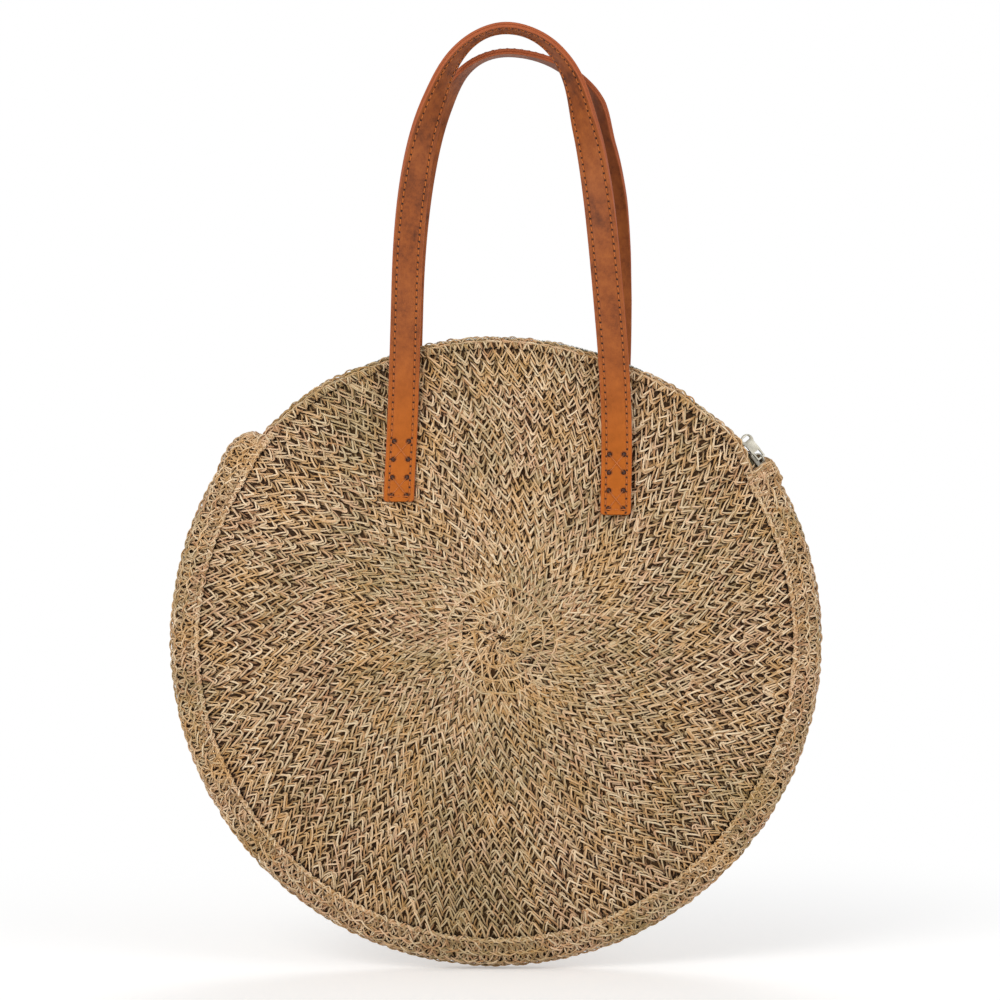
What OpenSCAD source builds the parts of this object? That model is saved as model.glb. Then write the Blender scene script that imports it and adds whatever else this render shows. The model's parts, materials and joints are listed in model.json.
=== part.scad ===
// Round crocheted shoulder bag with two leather handles and a curved zip.
// The origin is under the top of the front handle, where a hand or a hook carries the bag.
// The front of the bag faces -Y, +X is to the right and +Z is up.

/* [Bag] */
// Radius of the round bag over its gusset
bag_r = 200; // [180:1:230]
// Half the depth of the bag at the middle of its panels
mid_depth = 32; // [28:1:44]
// Half the depth of the bag at the edge of its panels
edge_depth = 15; // [13:0.5:18]
// Thickness of the crochet
crochet_t = 4; // [3:0.25:4.5]
// Radius of the rope of chain stitches that edges each panel
chain_r = 2.6; // [2:0.1:3.2]
// How far the gusset stands out from the front panel's edge
gusset_out = 16.5; // [15:0.5:22]
// How much larger in radius the back panel is than the front one
rim_step = 2; // [0:0.5:3]
// Angle at which the gusset ends beside the closed end of the zip
gusset_end_right = 31; // [26:0.5:34]
// Angle at which the gusset ends beside the other end of the zip
gusset_end_left = 139; // [136:0.5:144]
// Thickness of the lining cloth
lining_t = 0.8; // [0.5:0.1:1.2]

/* [Zip] */
// How far the zip lies outside the front panel's edge at the top of the bag
zip_rise = 1; // [0:0.25:2]
// How far the centre of the zip's curve lies below the centre of the bag
zip_drop = 17.5; // [10:0.5:25]
// How far the centre of the zip's curve lies to the right of the centre of the bag
zip_aside = 1.5; // [0:0.5:3]
// Lean of the zip towards the front
zip_tilt = 12; // [0:1:16]
// Angle at which the tapes start, at the closed end
zip_from = 36; // [35:0.25:38]
// Angle at which the tapes end
zip_to = 134.25; // [130:0.25:135]
// Thickness of a tape
tape_t = 0.5; // [0.4:0.05:0.7]
// Distance along the zip from one tooth to the next on the same tape
tooth_pitch = 3; // [2.6:0.1:3.6]
// Height of a tooth through the zip
tooth_t = 2.4; // [2:0.1:2.8]
// Reach of a tooth from the middle of the zip to its clamped back
tooth_reach = 2.8; // [2.6:0.1:3.2]
// Length of the slider
slider_l = 12.5; // [11:0.25:15]
// Width of the slider at its mouth
slider_w = 10; // [9.4:0.2:12]
// Thickness of the slider's two plates
plate_t = 1.1; // [0.9:0.1:1.5]
// Radius of the slider's bail, to the middle of its wire
bail_r = 3.5; // [3.3:0.1:4.2]
// Radius of the bail's wire
wire_r = 0.7; // [0.5:0.05:0.8]
// Length of the pull tab
tab_l = 18; // [15:0.5:26]
// Width of the pull tab at its head
tab_w = 8; // [7:0.25:10]
// Thickness of the pull tab
tab_t = 1.1; // [0.9:0.05:1.2]
// Roll of the loose pull tab towards the front
tab_roll = 20; // [0:1:20]

/* [Handles] */
// Width of the straps
strap_w = 18.5; // [14:0.5:24]
// Thickness of the outer, stitched leather layer
outer_t = 1.9; // [1.4:0.1:2.4]
// Thickness of the leather backing layer
backing_t = 1.6; // [1.2:0.1:2]
// Half the distance between the legs of a handle, to the middle of the straps
leg_half = 67; // [55:1:75]
// How far the handles sit to the right of the middle of the bag
handle_aside = 6.5; // [0:0.5:10]
// Distance of the handles' fold line below the top of the bag
fold_down = 70; // [60:1:80]
// Height of a front handle's arch above its fold line
arch_h = 246.5; // [200:1:300]
// How much lower the back handle's arch stands
arch_step = 12; // [0:1:20]
// Turn of the straps from their sewn ends to the top of the arch
strap_twist = 82; // [60:1:88]
// Length of a sewn end on the left, below the fold line
left_end_l = 45; // [44:1:52]
// Length of a sewn end on the right, below the fold line
right_end_l = 53; // [44:1:56]
// Gap between the two handles at the top of their arches
handle_gap = 3.6; // [2:0.2:8]
// Radius of the punched sewing holes
hole_r = 0.95; // [0.8:0.05:1.2]
// Distance between the two columns of sewing holes
hole_across = 9; // [7:0.5:11]
// Distance between the rows of sewing holes
hole_row = 11; // [10:0.25:11]
// Radius of the waxed sewing thread
thread_r = 0.5; // [0.4:0.05:0.6]

/* [Hidden] */
$fn = 48;

crochet_color = "burlywood";
lining_color = "darkkhaki";
leather_color = "peru";
backing_color = "sienna";
metal_color = "silver";
thread_color = "saddlebrown";

// Clearances and small sizes
seam_gap = 0.1;
cloth_gap = 0.3;
overrun = 1;
chain_seat = 1;
gusset_step = 0.5;

// The panels swell from their edge to the middle by this power of the radius
dome_power = 2.5;
dome_steps = 14;
disc_r = bag_r - gusset_out;
chain_h = edge_depth - chain_seat;
nose_r = edge_depth - gusset_step;
nose_at = bag_r - nose_r;

// The zip lies on a cone about its own centre
zip_r = disc_r + zip_rise + zip_drop;
head_r = 0.62;
head_past = 0.2;
neck_w = 0.8;
clamp_w = 1.7;
clamp_l = 1.6;
slot_play = 0.1;
tape_in = tooth_reach - clamp_l + slot_play * 4;
tape_out = chain_h - chain_r - cloth_gap;
stop_l = 1.8;
tape_spare = 2.4;
run_gap = 0.35;
post_half = tape_in - run_gap;
post_l = 3.6;
mouth_play = 0.3;
flange_t = 0.9;
tail_w = 2 * (tooth_reach + run_gap + flange_t);
channel_half = tooth_t / 2 + run_gap;
plate_out = channel_half + plate_t;
tape_slot = tape_t + 2 * run_gap;
corner_cut = 1.6;
pitch_angle = arc_angle(tooth_pitch);
stop_angle = zip_from + arc_angle(tape_spare);
slider_angle = stop_angle + arc_angle(stop_l / 2 + mouth_play + slider_l / 2);
first_tooth = slider_angle - arc_angle(slider_l / 2 - post_l - mouth_play - clamp_w / 2);
last_stop = zip_to - arc_angle(tape_spare);
tooth_count = floor((last_stop - first_tooth - arc_angle(stop_l)) / pitch_angle);

// The pull tab turns on a bar under the bail
bar_t = 1.1;
bar_up = 1.8;
slot_l = 4.2;
tab_slot_w = 3.6;
tab_waist = 0.78 * tab_w;
eye_l_share = 0.62;
eye_w_share = 0.3;
tab_lift = 5;

// The straps lie on the panel below their fold line and lean inwards above it
strap_t = outer_t + backing_t;
fold_up = bag_r - fold_down;
strap_lift = 1.1;
end_corner = 2;
strap_chamfer = 0.5;
layer_gap = 0.05;
thread_down_share = 0.8;
left_x = handle_aside - leg_half;
right_x = handle_aside + leg_half;
fold_dome = dome(norm([left_x, fold_up]));
face_h = fold_dome + strap_lift + strap_t;
sewn_drop = dome(norm([left_x, fold_up - left_end_l])) - fold_dome;
sewn_lean = atan(sewn_drop / left_end_l);
apex_h = strap_w / 2 + handle_gap / 2;
fold_gap = 0.3;
arch_steps = 64;
span_power = 2.1;
rise_power = 2.65;
twist_from = 3;
twist_to = 70;
hole_rows = 4;
hole_foot = 3.6;

// Where the middle of the bag lies, seen from the carrying point
grip_up = fold_up + arch_h * cos(front_lean()) - strap_t;
bag_x = -handle_aside;
bag_z = -grip_up;

function arc_angle(length) = length / zip_r * 180 / PI;
function dome(r) = mid_depth - (mid_depth - edge_depth) * pow(r / disc_r, dome_power);
function front_lean() = asin((face_h - strap_t / 2 - apex_h) / arch_h);
function smooth(t) = let (s = min(1, max(0, t))) s * s * (3 - 2 * s);

// Draws its children as seen from the front: x to the right, y up, z towards the viewer
module bag_view() {
    translate([bag_x, 0, bag_z]) rotate([90, 0, 0]) children();
}

module zip_view() {
    bag_view() translate([zip_aside, -zip_drop, 0]) children();
}

// Places its children on the zip at an angle: x out of the zip, y along it, z across it
module on_zip(angle) {
    zip_view() rotate([0, 0, angle]) translate([zip_r, 0, 0]) rotate([0, -zip_tilt, 0]) children();
}

// Extrudes an outline drawn along and across the zip, through the zip
module through_zip(low, high) {
    translate([low, 0, 0]) rotate([90, 0, 90]) linear_extrude(high - low) children();
}

function side_r(side) = disc_r + (side < 0 ? rim_step : 0);

module chain_groove(side) {
    translate([side_r(side), side * chain_h]) circle(chain_r + seam_gap);
}

// A domed layer between two depths below the panel's outer face
module dome_layer(side, from, to, rim) {
    rs = [for (i = [0:dome_steps]) rim * i / dome_steps];
    reach = side_r(side) / disc_r;
    outer = [for (r = rs) [r, side * (dome(r / reach) - from)]];
    inner = [for (i = [dome_steps:-1:0]) [rs[i], side * (dome(rs[i] / reach) - to)]];
    polygon(concat(outer, inner));
}

module panel(side) {
    color(crochet_color) bag_view() rotate_extrude() difference() {
        dome_layer(side, 0, crochet_t, side_r(side) - chain_r / 2);
        chain_groove(side);
    }
}

module panel_lining(side) {
    top = crochet_t + cloth_gap;
    color(lining_color) bag_view() rotate_extrude()
        dome_layer(side, top, top + lining_t, side_r(side) - chain_r);
}

module edge_chain(side) {
    color(crochet_color) bag_view() rotate_extrude()
        translate([side_r(side), side * chain_h]) circle(chain_r);
}

module nose(half) {
    translate([nose_at, 0]) circle(half);
    translate([disc_r - overrun, -half]) square([nose_at - disc_r + overrun, 2 * half]);
}

// A layer of the gusset between two depths below its outer face
module gusset_layer(from, to) {
    difference() {
        nose(nose_r - from);
        nose(nose_r - to);
        square([side_r(1), bag_r]);
        mirror([0, 1]) square([side_r(-1), bag_r]);
        chain_groove(1);
        chain_groove(-1);
    }
}

module gusset(from, to) {
    sweep = 360 - gusset_end_left + gusset_end_right;
    bag_view() rotate([0, 0, gusset_end_left]) rotate_extrude(angle = sweep)
        gusset_layer(from, to);
}

module front_panel() panel(1);
module back_panel() panel(-1);
module front_edge_chain() edge_chain(1);
module back_edge_chain() edge_chain(-1);
module front_lining() panel_lining(1);
module back_lining() panel_lining(-1);

module gusset_band() {
    color(crochet_color) gusset(0, crochet_t);
}

module gusset_lining() {
    top = crochet_t + cloth_gap;
    color(lining_color) gusset(top, top + lining_t);
}

module zip_tape(side) {
    foot = side > 0 ? tape_in : -tape_out;
    color(lining_color) zip_view() rotate([0, 0, zip_from])
        rotate_extrude(angle = zip_to - zip_from)
        translate([zip_r, 0]) rotate(zip_tilt)
        translate([-tape_t / 2, foot]) square([tape_t, tape_out - tape_in]);
}

// One tooth: a round head on a neck, and a back that clamps the edge of the tape
module tooth(side) {
    root = tooth_reach - clamp_l;
    mirror([0, 0, side > 0 ? 0 : 1]) difference() {
        through_zip(-tooth_t / 2, tooth_t / 2) {
            translate([0, -head_past]) circle(head_r);
            translate([-neck_w / 2, -head_past]) square([neck_w, root + head_past + seam_gap]);
            translate([-clamp_w / 2, root]) square([clamp_w, clamp_l]);
        }
        translate([-tape_t / 2 - slot_play, -clamp_w, tape_in - slot_play])
            cube([tape_t + 2 * slot_play, 2 * clamp_w, clamp_l]);
    }
}

module zip_teeth(side) {
    first = first_tooth + (side > 0 ? 0 : pitch_angle / 2);
    color("darkolivegreen") for (i = [0:tooth_count - 1])
        on_zip(first + i * pitch_angle) tooth(side);
}

module zip_tape_front() zip_tape(1);
module zip_tape_back() zip_tape(-1);
module zip_teeth_front() zip_teeth(1);
module zip_teeth_back() zip_teeth(-1);

// A bent metal clip on the edge of one tape
module stop_clip(inner) {
    difference() {
        through_zip(-tooth_t / 2, tooth_t / 2)
            translate([-stop_l / 2, inner]) square([stop_l, tooth_reach - inner]);
        translate([-tape_t / 2 - slot_play, -stop_l, tape_in - slot_play])
            cube([tape_t + 2 * slot_play, 2 * stop_l, clamp_l]);
    }
}

module top_stops() {
    color(metal_color) on_zip(stop_angle) {
        stop_clip(head_r);
        mirror([0, 0, 1]) stop_clip(head_r);
    }
}

module bottom_stop() {
    color(metal_color) on_zip(last_stop) {
        stop_clip(0);
        mirror([0, 0, 1]) stop_clip(0);
    }
}

// Outline of the slider's plates: wide at its mouth, narrow at its tail
module slider_outline(mouth, tail, half_l) {
    points = [[-half_l, -mouth / 2], [half_l - corner_cut, -tail / 2],
        [half_l, corner_cut - tail / 2], [half_l, tail / 2 - corner_cut],
        [half_l - corner_cut, tail / 2], [-half_l, mouth / 2]];
    intersection() {
        polygon(points);
        circle(norm([slider_l, slider_w]) / 2 - corner_cut / 2);
    }
}

module channel_outline() {
    half_l = slider_l / 2 + overrun;
    mouth = slider_w - 2 * flange_t;
    tail = tail_w - 2 * flange_t;
    polygon([[-half_l, -mouth / 2], [0, -tail / 2], [half_l, -tail / 2],
        [half_l, tail / 2], [0, tail / 2], [-half_l, mouth / 2]]);
}

// The wedge that parts the teeth, at the mouth of the slider
module slider_post() {
    nose_end = -slider_l / 2 + mouth_play;
    through_zip(-channel_half - seam_gap, channel_half + seam_gap)
        polygon([[nose_end, -post_half], [nose_end + post_l / 2, -post_half],
            [nose_end + post_l, 0], [nose_end + post_l / 2, post_half], [nose_end, post_half]]);
}

module slider_body() {
    color(metal_color) on_zip(slider_angle) {
        difference() {
            through_zip(-plate_out, plate_out) slider_outline(slider_w, tail_w, slider_l / 2);
            through_zip(-channel_half, channel_half) channel_outline();
            translate([-tape_slot / 2, -slider_l, -slider_w])
                cube([tape_slot, 2 * slider_l, 2 * slider_w]);
        }
        slider_post();
    }
}

module slider_bail() {
    color(metal_color) on_zip(slider_angle) translate([plate_out, 0, 0])
        rotate([0, 0, -90]) rotate_extrude(angle = 180)
        translate([bail_r, 0]) circle(wire_r);
}

// The flat tab: a cross bar, a slot for the bail, a waist and a round head with an oval eye
module tab_outline() {
    head = tab_l - bar_t / 2 - tab_w / 2;
    eye_r = tab_w * eye_w_share / 2;
    eye_half = tab_w * eye_l_share / 2 - eye_r;
    foot_w = tab_slot_w + 2 * bar_t;
    difference() {
        union() {
            translate([0, head]) circle(tab_w / 2);
            translate([-foot_w / 2, -bar_t / 2]) square([foot_w, slot_l + 2 * bar_t]);
            translate([-tab_waist / 2, slot_l]) square([tab_waist, head - slot_l]);
        }
        translate([-tab_slot_w / 2, bar_t / 2]) square([tab_slot_w, slot_l]);
        translate([-eye_half, head + eye_r]) circle(eye_r);
        translate([eye_half, head + eye_r]) circle(eye_r);
        translate([-eye_half, head]) square([2 * eye_half, 2 * eye_r]);
    }
}

module pull_tab() {
    color(metal_color) on_zip(slider_angle) translate([plate_out + bar_up, 0, 0])
        rotate([0, 0, -tab_lift]) rotate([0, -tab_roll, 0]) rotate([0, -90, 0])
        translate([0, 0, -tab_t / 2]) linear_extrude(tab_t) tab_outline();
}

// Places its children on a leg's sewn end: the fold line is at y = 0 and the face at z = 0
module on_leg(side, x) {
    bag_view() mirror([0, 0, side > 0 ? 0 : 1]) translate([x, fold_up, face_h])
        rotate([-sewn_lean, 0, 0]) children();
}

module end_outline(length) {
    inset = strap_w / 2 - end_corner;
    translate([-strap_w / 2, end_corner - length]) square([strap_w, length - end_corner]);
    translate([-inset, -length]) square([2 * inset, end_corner + seam_gap]);
    for (x = [-inset, inset]) translate([x, end_corner - length]) circle(end_corner);
}

function hole_places(length) = [for (row = [0:hole_rows - 1], x = [-hole_across / 2, hole_across / 2])
    [x, hole_foot + row * hole_row - length]];

module end_layer(side, x, length, low, high) {
    on_leg(side, x) difference() {
        translate([0, 0, low]) linear_extrude(high - low) end_outline(length);
        for (place = hole_places(length)) translate([place[0], place[1], low - overrun])
            cylinder(h = high - low + 2 * overrun, r = hole_r);
    }
}

module strap_end(side, x, length) {
    color(leather_color) end_layer(side, x, length, -outer_t, 0);
}

module end_backings(side) {
    color(backing_color) {
        end_layer(side, left_x, left_end_l, -strap_t, -outer_t);
        end_layer(side, right_x, right_end_l, -strap_t, -outer_t);
    }
}

module front_left_strap_end() strap_end(1, left_x, left_end_l);
module front_right_strap_end() strap_end(1, right_x, right_end_l);
module back_left_strap_end() strap_end(-1, left_x, left_end_l);
module back_right_strap_end() strap_end(-1, right_x, right_end_l);
module front_end_backings() end_backings(1);
module back_end_backings() end_backings(-1);

// A thread on the face from one hole to another, going down into both
module thread(from, to, lift) {
    run = to - from;
    translate([from[0], from[1], lift]) rotate([0, 0, atan2(run[1], run[0])])
        translate([-thread_r, 0, 0]) rotate([0, 90, 0])
        cylinder(h = norm(run) + 2 * thread_r, r = thread_r);
    for (place = [from, to]) translate([place[0], place[1], -strap_t])
        cylinder(h = strap_t + lift, r = thread_down_share * thread_r);
}

// Two crosses of thread over the four rows of holes
module leg_threads(side, x, length) {
    holes = hole_places(length);
    under = thread_r + seam_gap;
    on_leg(side, x) for (first = [0, 4]) {
        thread(holes[first], holes[first + 3], under);
        thread(holes[first + 1], holes[first + 2], under + thread_r);
    }
}

module anchor_threads(side) {
    color(thread_color) {
        leg_threads(side, left_x, left_end_l);
        leg_threads(side, right_x, right_end_l);
    }
}

module front_anchor_threads() anchor_threads(1);
module back_anchor_threads() anchor_threads(-1);

// The arch of a handle in its own plane: across from the middle, and up from the fold line
function arch_x(t) = leg_half * sign(cos(t)) * pow(abs(cos(t)), 2 / span_power);
function arch_y(t, rise) = fold_gap + (rise - fold_gap) * pow(abs(sin(t)), 2 / rise_power);
function arch_turn(t) = strap_twist * smooth((min(t, 180 - t) - twist_from) / (twist_to - twist_from));
function arch_angle(i) = 180 - 180 * i / arch_steps;

// Direction along the strap: straight up at its ends, and by neighbouring points between them
function arch_run(i, rise) =
    i == 0 ? [0, 1] : i == arch_steps ? [0, -1] :
    let (a = arch_angle(i - 1), b = arch_angle(i + 1),
        d = [arch_x(b) - arch_x(a), arch_y(b, rise) - arch_y(a, rise)]) d / norm(d);

// The corners of a strap layer's section, across the strap and through it. One face has
// bevelled edges and the other lies on the next layer.
function layer_section(low, high, bevel_high) =
    let (half = strap_w / 2, inset = half - strap_chamfer)
    bevel_high
        ? [[-half, low], [half, low], [half, high - strap_chamfer], [inset, high],
            [-inset, high], [-half, high - strap_chamfer]]
        : [[-inset, low], [inset, low], [half, low + strap_chamfer], [half, high],
            [-half, high], [-half, low + strap_chamfer]];

// One point of a strap layer: the face towards the viewer turns inwards, up to the top
function strap_point(side, i, corner, rise, lean) =
    let (t = arch_angle(i), run = arch_run(i, rise), out = [-run[1], run[0]], turn = arch_turn(t),
        across = corner[0] * cos(turn) - corner[1] * sin(turn),
        front = corner[0] * sin(turn) + corner[1] * cos(turn) - side * strap_t / 2,
        x = arch_x(t) + out[0] * across, up = arch_y(t, rise) + out[1] * across)
    [handle_aside + x, fold_up + up * cos(lean) + front * side * sin(lean),
        side * (face_h - up * sin(lean)) + front * cos(lean)];

module strap_layer(side, rise, section) {
    lean = asin((face_h - strap_t / 2 - apex_h) / rise);
    count = len(section);
    points = [for (i = [0:arch_steps], corner = section) strap_point(side, i, corner, rise, lean)];
    sides = [for (i = [0:arch_steps - 1], k = [0:count - 1], half = [0, 1])
        let (a = i * count + k, b = i * count + (k + 1) % count)
        k < count / 2
            ? (half == 0 ? [a, b, b + count] : [a, b + count, a + count])
            : (half == 0 ? [a, b, a + count] : [b, b + count, a + count])];
    caps = [[for (k = [count - 1:-1:0]) k], [for (k = [0:count - 1]) arch_steps * count + k]];
    bag_view() polyhedron(points, concat(sides, caps));
}

// On the front handle the stitched layer faces the viewer, on the back one it faces away
module outer_layer(side, rise) {
    join = side * (strap_t / 2 - outer_t);
    face = side * strap_t / 2;
    color(leather_color)
        strap_layer(side, rise, layer_section(min(join, face), max(join, face), side > 0));
}

module backing_layer(side, rise) {
    join = side * (strap_t / 2 - outer_t - layer_gap);
    face = -side * strap_t / 2;
    color(backing_color)
        strap_layer(side, rise, layer_section(min(join, face), max(join, face), side < 0));
}

module front_handle_strap() outer_layer(1, arch_h);
module front_handle_backing() backing_layer(1, arch_h);
module back_handle_strap() outer_layer(-1, arch_h - arch_step);
module back_handle_backing() backing_layer(-1, arch_h - arch_step);

front_panel();
back_panel();
gusset_band();
front_edge_chain();
back_edge_chain();
front_lining();
back_lining();
gusset_lining();
zip_tape_front();
zip_tape_back();
zip_teeth_front();
zip_teeth_back();
top_stops();
bottom_stop();
slider_body();
slider_bail();
pull_tab();
front_left_strap_end();
front_right_strap_end();
back_left_strap_end();
back_right_strap_end();
front_end_backings();
back_end_backings();
front_anchor_threads();
back_anchor_threads();
front_handle_strap();
front_handle_backing();
back_handle_strap();
back_handle_backing();
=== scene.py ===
import json
import math

import bpy
import numpy as np
from mathutils import Matrix, Vector


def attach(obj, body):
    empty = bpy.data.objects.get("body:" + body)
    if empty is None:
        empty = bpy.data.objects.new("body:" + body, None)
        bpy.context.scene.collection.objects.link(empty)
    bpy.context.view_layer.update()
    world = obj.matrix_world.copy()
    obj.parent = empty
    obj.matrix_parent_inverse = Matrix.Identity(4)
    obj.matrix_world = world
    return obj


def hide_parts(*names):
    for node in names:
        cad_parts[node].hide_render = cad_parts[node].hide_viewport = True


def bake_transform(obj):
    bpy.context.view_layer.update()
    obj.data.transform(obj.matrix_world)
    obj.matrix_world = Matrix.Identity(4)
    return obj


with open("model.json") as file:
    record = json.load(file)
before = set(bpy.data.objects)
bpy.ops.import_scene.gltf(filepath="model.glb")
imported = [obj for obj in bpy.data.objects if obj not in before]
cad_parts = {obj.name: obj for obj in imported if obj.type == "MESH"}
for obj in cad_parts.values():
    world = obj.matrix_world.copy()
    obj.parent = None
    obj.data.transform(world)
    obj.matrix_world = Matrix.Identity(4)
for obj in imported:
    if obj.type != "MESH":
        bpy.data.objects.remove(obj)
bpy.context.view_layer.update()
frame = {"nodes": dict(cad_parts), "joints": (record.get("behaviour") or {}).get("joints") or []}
print("bag: frame loaded")

# Sizes of the frame, in millimetres, seen from the front: x right, y up, z to the viewer
bag = {
    "x": -6.5, "z": -372.566,  # middle of the bag in the row frame
    "discR": 183.5, "midDepth": 32.0, "edgeDepth": 15.0, "domePower": 2.5,
    "rimStep": 2.0, "crochetT": 4.0, "chainH": 14.0, "noseR": 14.5, "noseAt": 185.5,
    "gussetRight": 31.0, "gussetLeft": 139.0, "liningT": 0.8,
}
fullTurn = 2 * np.pi


def unit(v):
    return v / np.maximum(np.linalg.norm(v, axis=-1, keepdims=True), 1e-9)


def smooth(t):
    s = np.clip(t, 0, 1)
    return s * s * (3 - 2 * s)


def toRow(points):
    p = np.asarray(points, float)
    return np.stack([p[..., 0] + bag["x"], -p[..., 2], p[..., 1] + bag["z"]], -1) / 1000


def sideR(side):
    return bag["discR"] + (bag["rimStep"] if side < 0 else 0)


def sideName(side):
    return "front" if side > 0 else "back"


# A point at radius r and an angle round the middle of the bag
def polar(r, angle, z):
    return np.stack(np.broadcast_arrays(r * np.cos(angle), r * np.sin(angle), z), -1)


def makeMesh(name, points, faces, material, values=None):
    mesh = bpy.data.meshes.new(name)
    points = np.asarray(points, np.float32)
    faces = np.asarray(faces, np.int32)
    mesh.vertices.add(len(points))
    mesh.vertices.foreach_set("co", points.ravel())
    mesh.loops.add(faces.size)
    mesh.loops.foreach_set("vertex_index", faces.ravel())
    mesh.polygons.add(len(faces))
    mesh.polygons.foreach_set("loop_start", np.arange(len(faces), dtype=np.int32) * faces.shape[1])
    mesh.polygons.foreach_set("use_smooth", np.full(len(faces), True))
    mesh.update(calc_edges=True)
    for key, value in (values or {}).items():
        layer = mesh.attributes.new(key, "FLOAT", "POINT")
        layer.data.foreach_set("value", np.asarray(value, np.float32).ravel())
    mesh.materials.append(material)
    piece = bpy.data.objects.new(name, mesh)
    bpy.context.collection.objects.link(piece)
    return piece


# A piece that rides on the bag, from points in millimetres
def makePiece(name, points, faces, material, values=None, node=None):
    piece = makeMesh(name, toRow(points.reshape(-1, 3)), faces, material, values)
    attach(piece, "bag")
    if node:
        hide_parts(node)


# Faces between rows of points, where each row is a closed ring
def ringFaces(rows, ring):
    i, j = np.meshgrid(np.arange(rows - 1), np.arange(ring), indexing="ij")
    here, after = i * ring, (i + 1) * ring
    k = (j + 1) % ring
    return np.stack([here + j, here + k, after + k, after + j], -1).reshape(-1, 4)


# The same with both ends closed, for flat rings whose second half runs back under the first
def sweptFaces(rows, ring):
    caps = [[base + v for v in (j, j + 1, ring - 2 - j, ring - 1 - j)][::flip]
            for base, flip in ((0, 1), ((rows - 1) * ring, -1)) for j in range(ring // 2 - 1)]
    return np.concatenate([ringFaces(rows, ring)[:, ::-1], np.array(caps)])


# Many tubes at once: paths (n, k, 3), normals of the surface they lie on, radii (n, k)
def tubes(paths, normals, radii, sides=6, flat=1.0):
    count, rings = paths.shape[:2]
    run = unit(np.gradient(paths, axis=1))
    across = unit(np.cross(run, normals))
    up = np.cross(across, run)
    turn = fullTurn * (np.arange(sides) + 0.5) / sides - np.pi / 2  # the seam is underneath
    ring = (np.cos(turn)[None, None, :, None] * across[:, :, None, :]
            + flat * np.sin(turn)[None, None, :, None] * up[:, :, None, :])
    points = paths[:, :, None, :] + radii[:, :, None, None] * ring
    step = np.linalg.norm(np.diff(paths, axis=1), axis=-1)
    along = np.concatenate([np.zeros((count, 1)), np.cumsum(step, 1)], 1)
    low = [[0, 2 * j + 1, 2 * j + 2, 2 * j + 3] for j in range((sides - 2) // 2)]
    top = [[a + (rings - 1) * sides for a in reversed(f)] for f in low]
    one = np.concatenate([ringFaces(rings, sides)[:, ::-1], low, top])
    faces = (one[None] + (np.arange(count) * rings * sides)[:, None, None]).reshape(-1, 4)
    along = np.repeat(along[:, :, None], sides, 2)
    around = np.broadcast_to(np.arange(sides) / sides, along.shape)
    return points.reshape(-1, 3), faces, along.ravel(), around.ravel()


# Shader helpers: a value is a socket or a plain number
def setInputs(node, inputs):
    for key, value in inputs.items():
        if isinstance(value, bpy.types.NodeSocket):
            node.id_data.links.new(value, node.inputs[key])
        else:
            node.inputs[key].default_value = value


def addNode(tree, kind, inputs, **settings):
    node = tree.nodes.new(kind)
    for key, value in settings.items():
        setattr(node, key, value)
    setInputs(node, inputs)
    return node


def maths(operation, a, b=0.0, clamp=False):
    tree = (a if isinstance(a, bpy.types.NodeSocket) else b).id_data
    return addNode(tree, "ShaderNodeMath", {0: a, 1: b}, operation=operation, use_clamp=clamp).outputs[0]


def add(a, b, clamp=False):
    return maths("ADD", a, b, clamp)


def sub(a, b):
    return maths("SUBTRACT", a, b)


def mul(a, b):
    return maths("MULTIPLY", a, b)


# Two values, each times its share
def weighted(a, shareA, b, shareB):
    return add(mul(a, shareA), mul(b, shareB))


# Spreads a value round 0.5
def stretched(value, amount):
    return add(mul(sub(value, 0.5), amount), 0.5, clamp=True)


def attribute(tree, name):
    return addNode(tree, "ShaderNodeAttribute", {}, attribute_name=name).outputs["Fac"]


def objectPlace(tree):
    return tree.nodes.new("ShaderNodeTexCoord").outputs["Object"]


def ramp(value, stops, interpolation="LINEAR"):
    node = addNode(value.id_data, "ShaderNodeValToRGB", {"Fac": value})
    node.color_ramp.interpolation = interpolation
    while len(node.color_ramp.elements) < len(stops):
        node.color_ramp.elements.new(0.5)
    for element, (place, colour) in zip(node.color_ramp.elements, stops):
        element.position, element.color = place, colour
    return node.outputs["Color"]


black, white = (0, 0, 0, 1), (1, 1, 1, 1)


# White above high and black below low, or the other way round
def mask(value, low, high, inside=black, outside=white, interpolation="LINEAR"):
    return ramp(value, [(low, inside), (high, outside)], interpolation)


def mixColours(amount, a, b):
    return addNode(amount.id_data, "ShaderNodeMix", {0: amount, 6: a, 7: b}, data_type="RGBA").outputs[2]


def noise(vector, scale, detail, rough):
    inputs = {"Vector": vector, "Scale": scale, "Detail": detail, "Roughness": rough}
    return addNode(vector.id_data, "ShaderNodeTexNoise", inputs).outputs["Fac"]


def combine(x, y, z=0.0):
    return addNode(x.id_data, "ShaderNodeCombineXYZ", {0: x, 1: y, 2: z}).outputs[0]


def scaled(vector, factors):
    node = addNode(vector.id_data, "ShaderNodeVectorMath", {0: vector, 1: factors}, operation="MULTIPLY")
    return node.outputs[0]


def newMaterial(name, inputs):
    material = bpy.data.materials.new(name)
    material.use_nodes = True
    shader = material.node_tree.nodes["Principled BSDF"]
    setInputs(shader, inputs)
    return material, material.node_tree, shader


# Gives a shader its colour, and its relief with a strength and a depth in metres
def dress(shader, base, height, strength, depth):
    inputs = {"Height": height, "Strength": strength, "Distance": depth}
    bump = addNode(shader.id_data, "ShaderNodeBump", inputs).outputs[0]
    setInputs(shader, {"Base Color": base, "Normal": bump})


def srgb(*levels):
    shares = (level / 255 for level in levels)
    return (*(c / 12.92 if c <= 0.04045 else ((c + 0.055) / 1.055) ** 2.4 for c in shares), 1)


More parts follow.
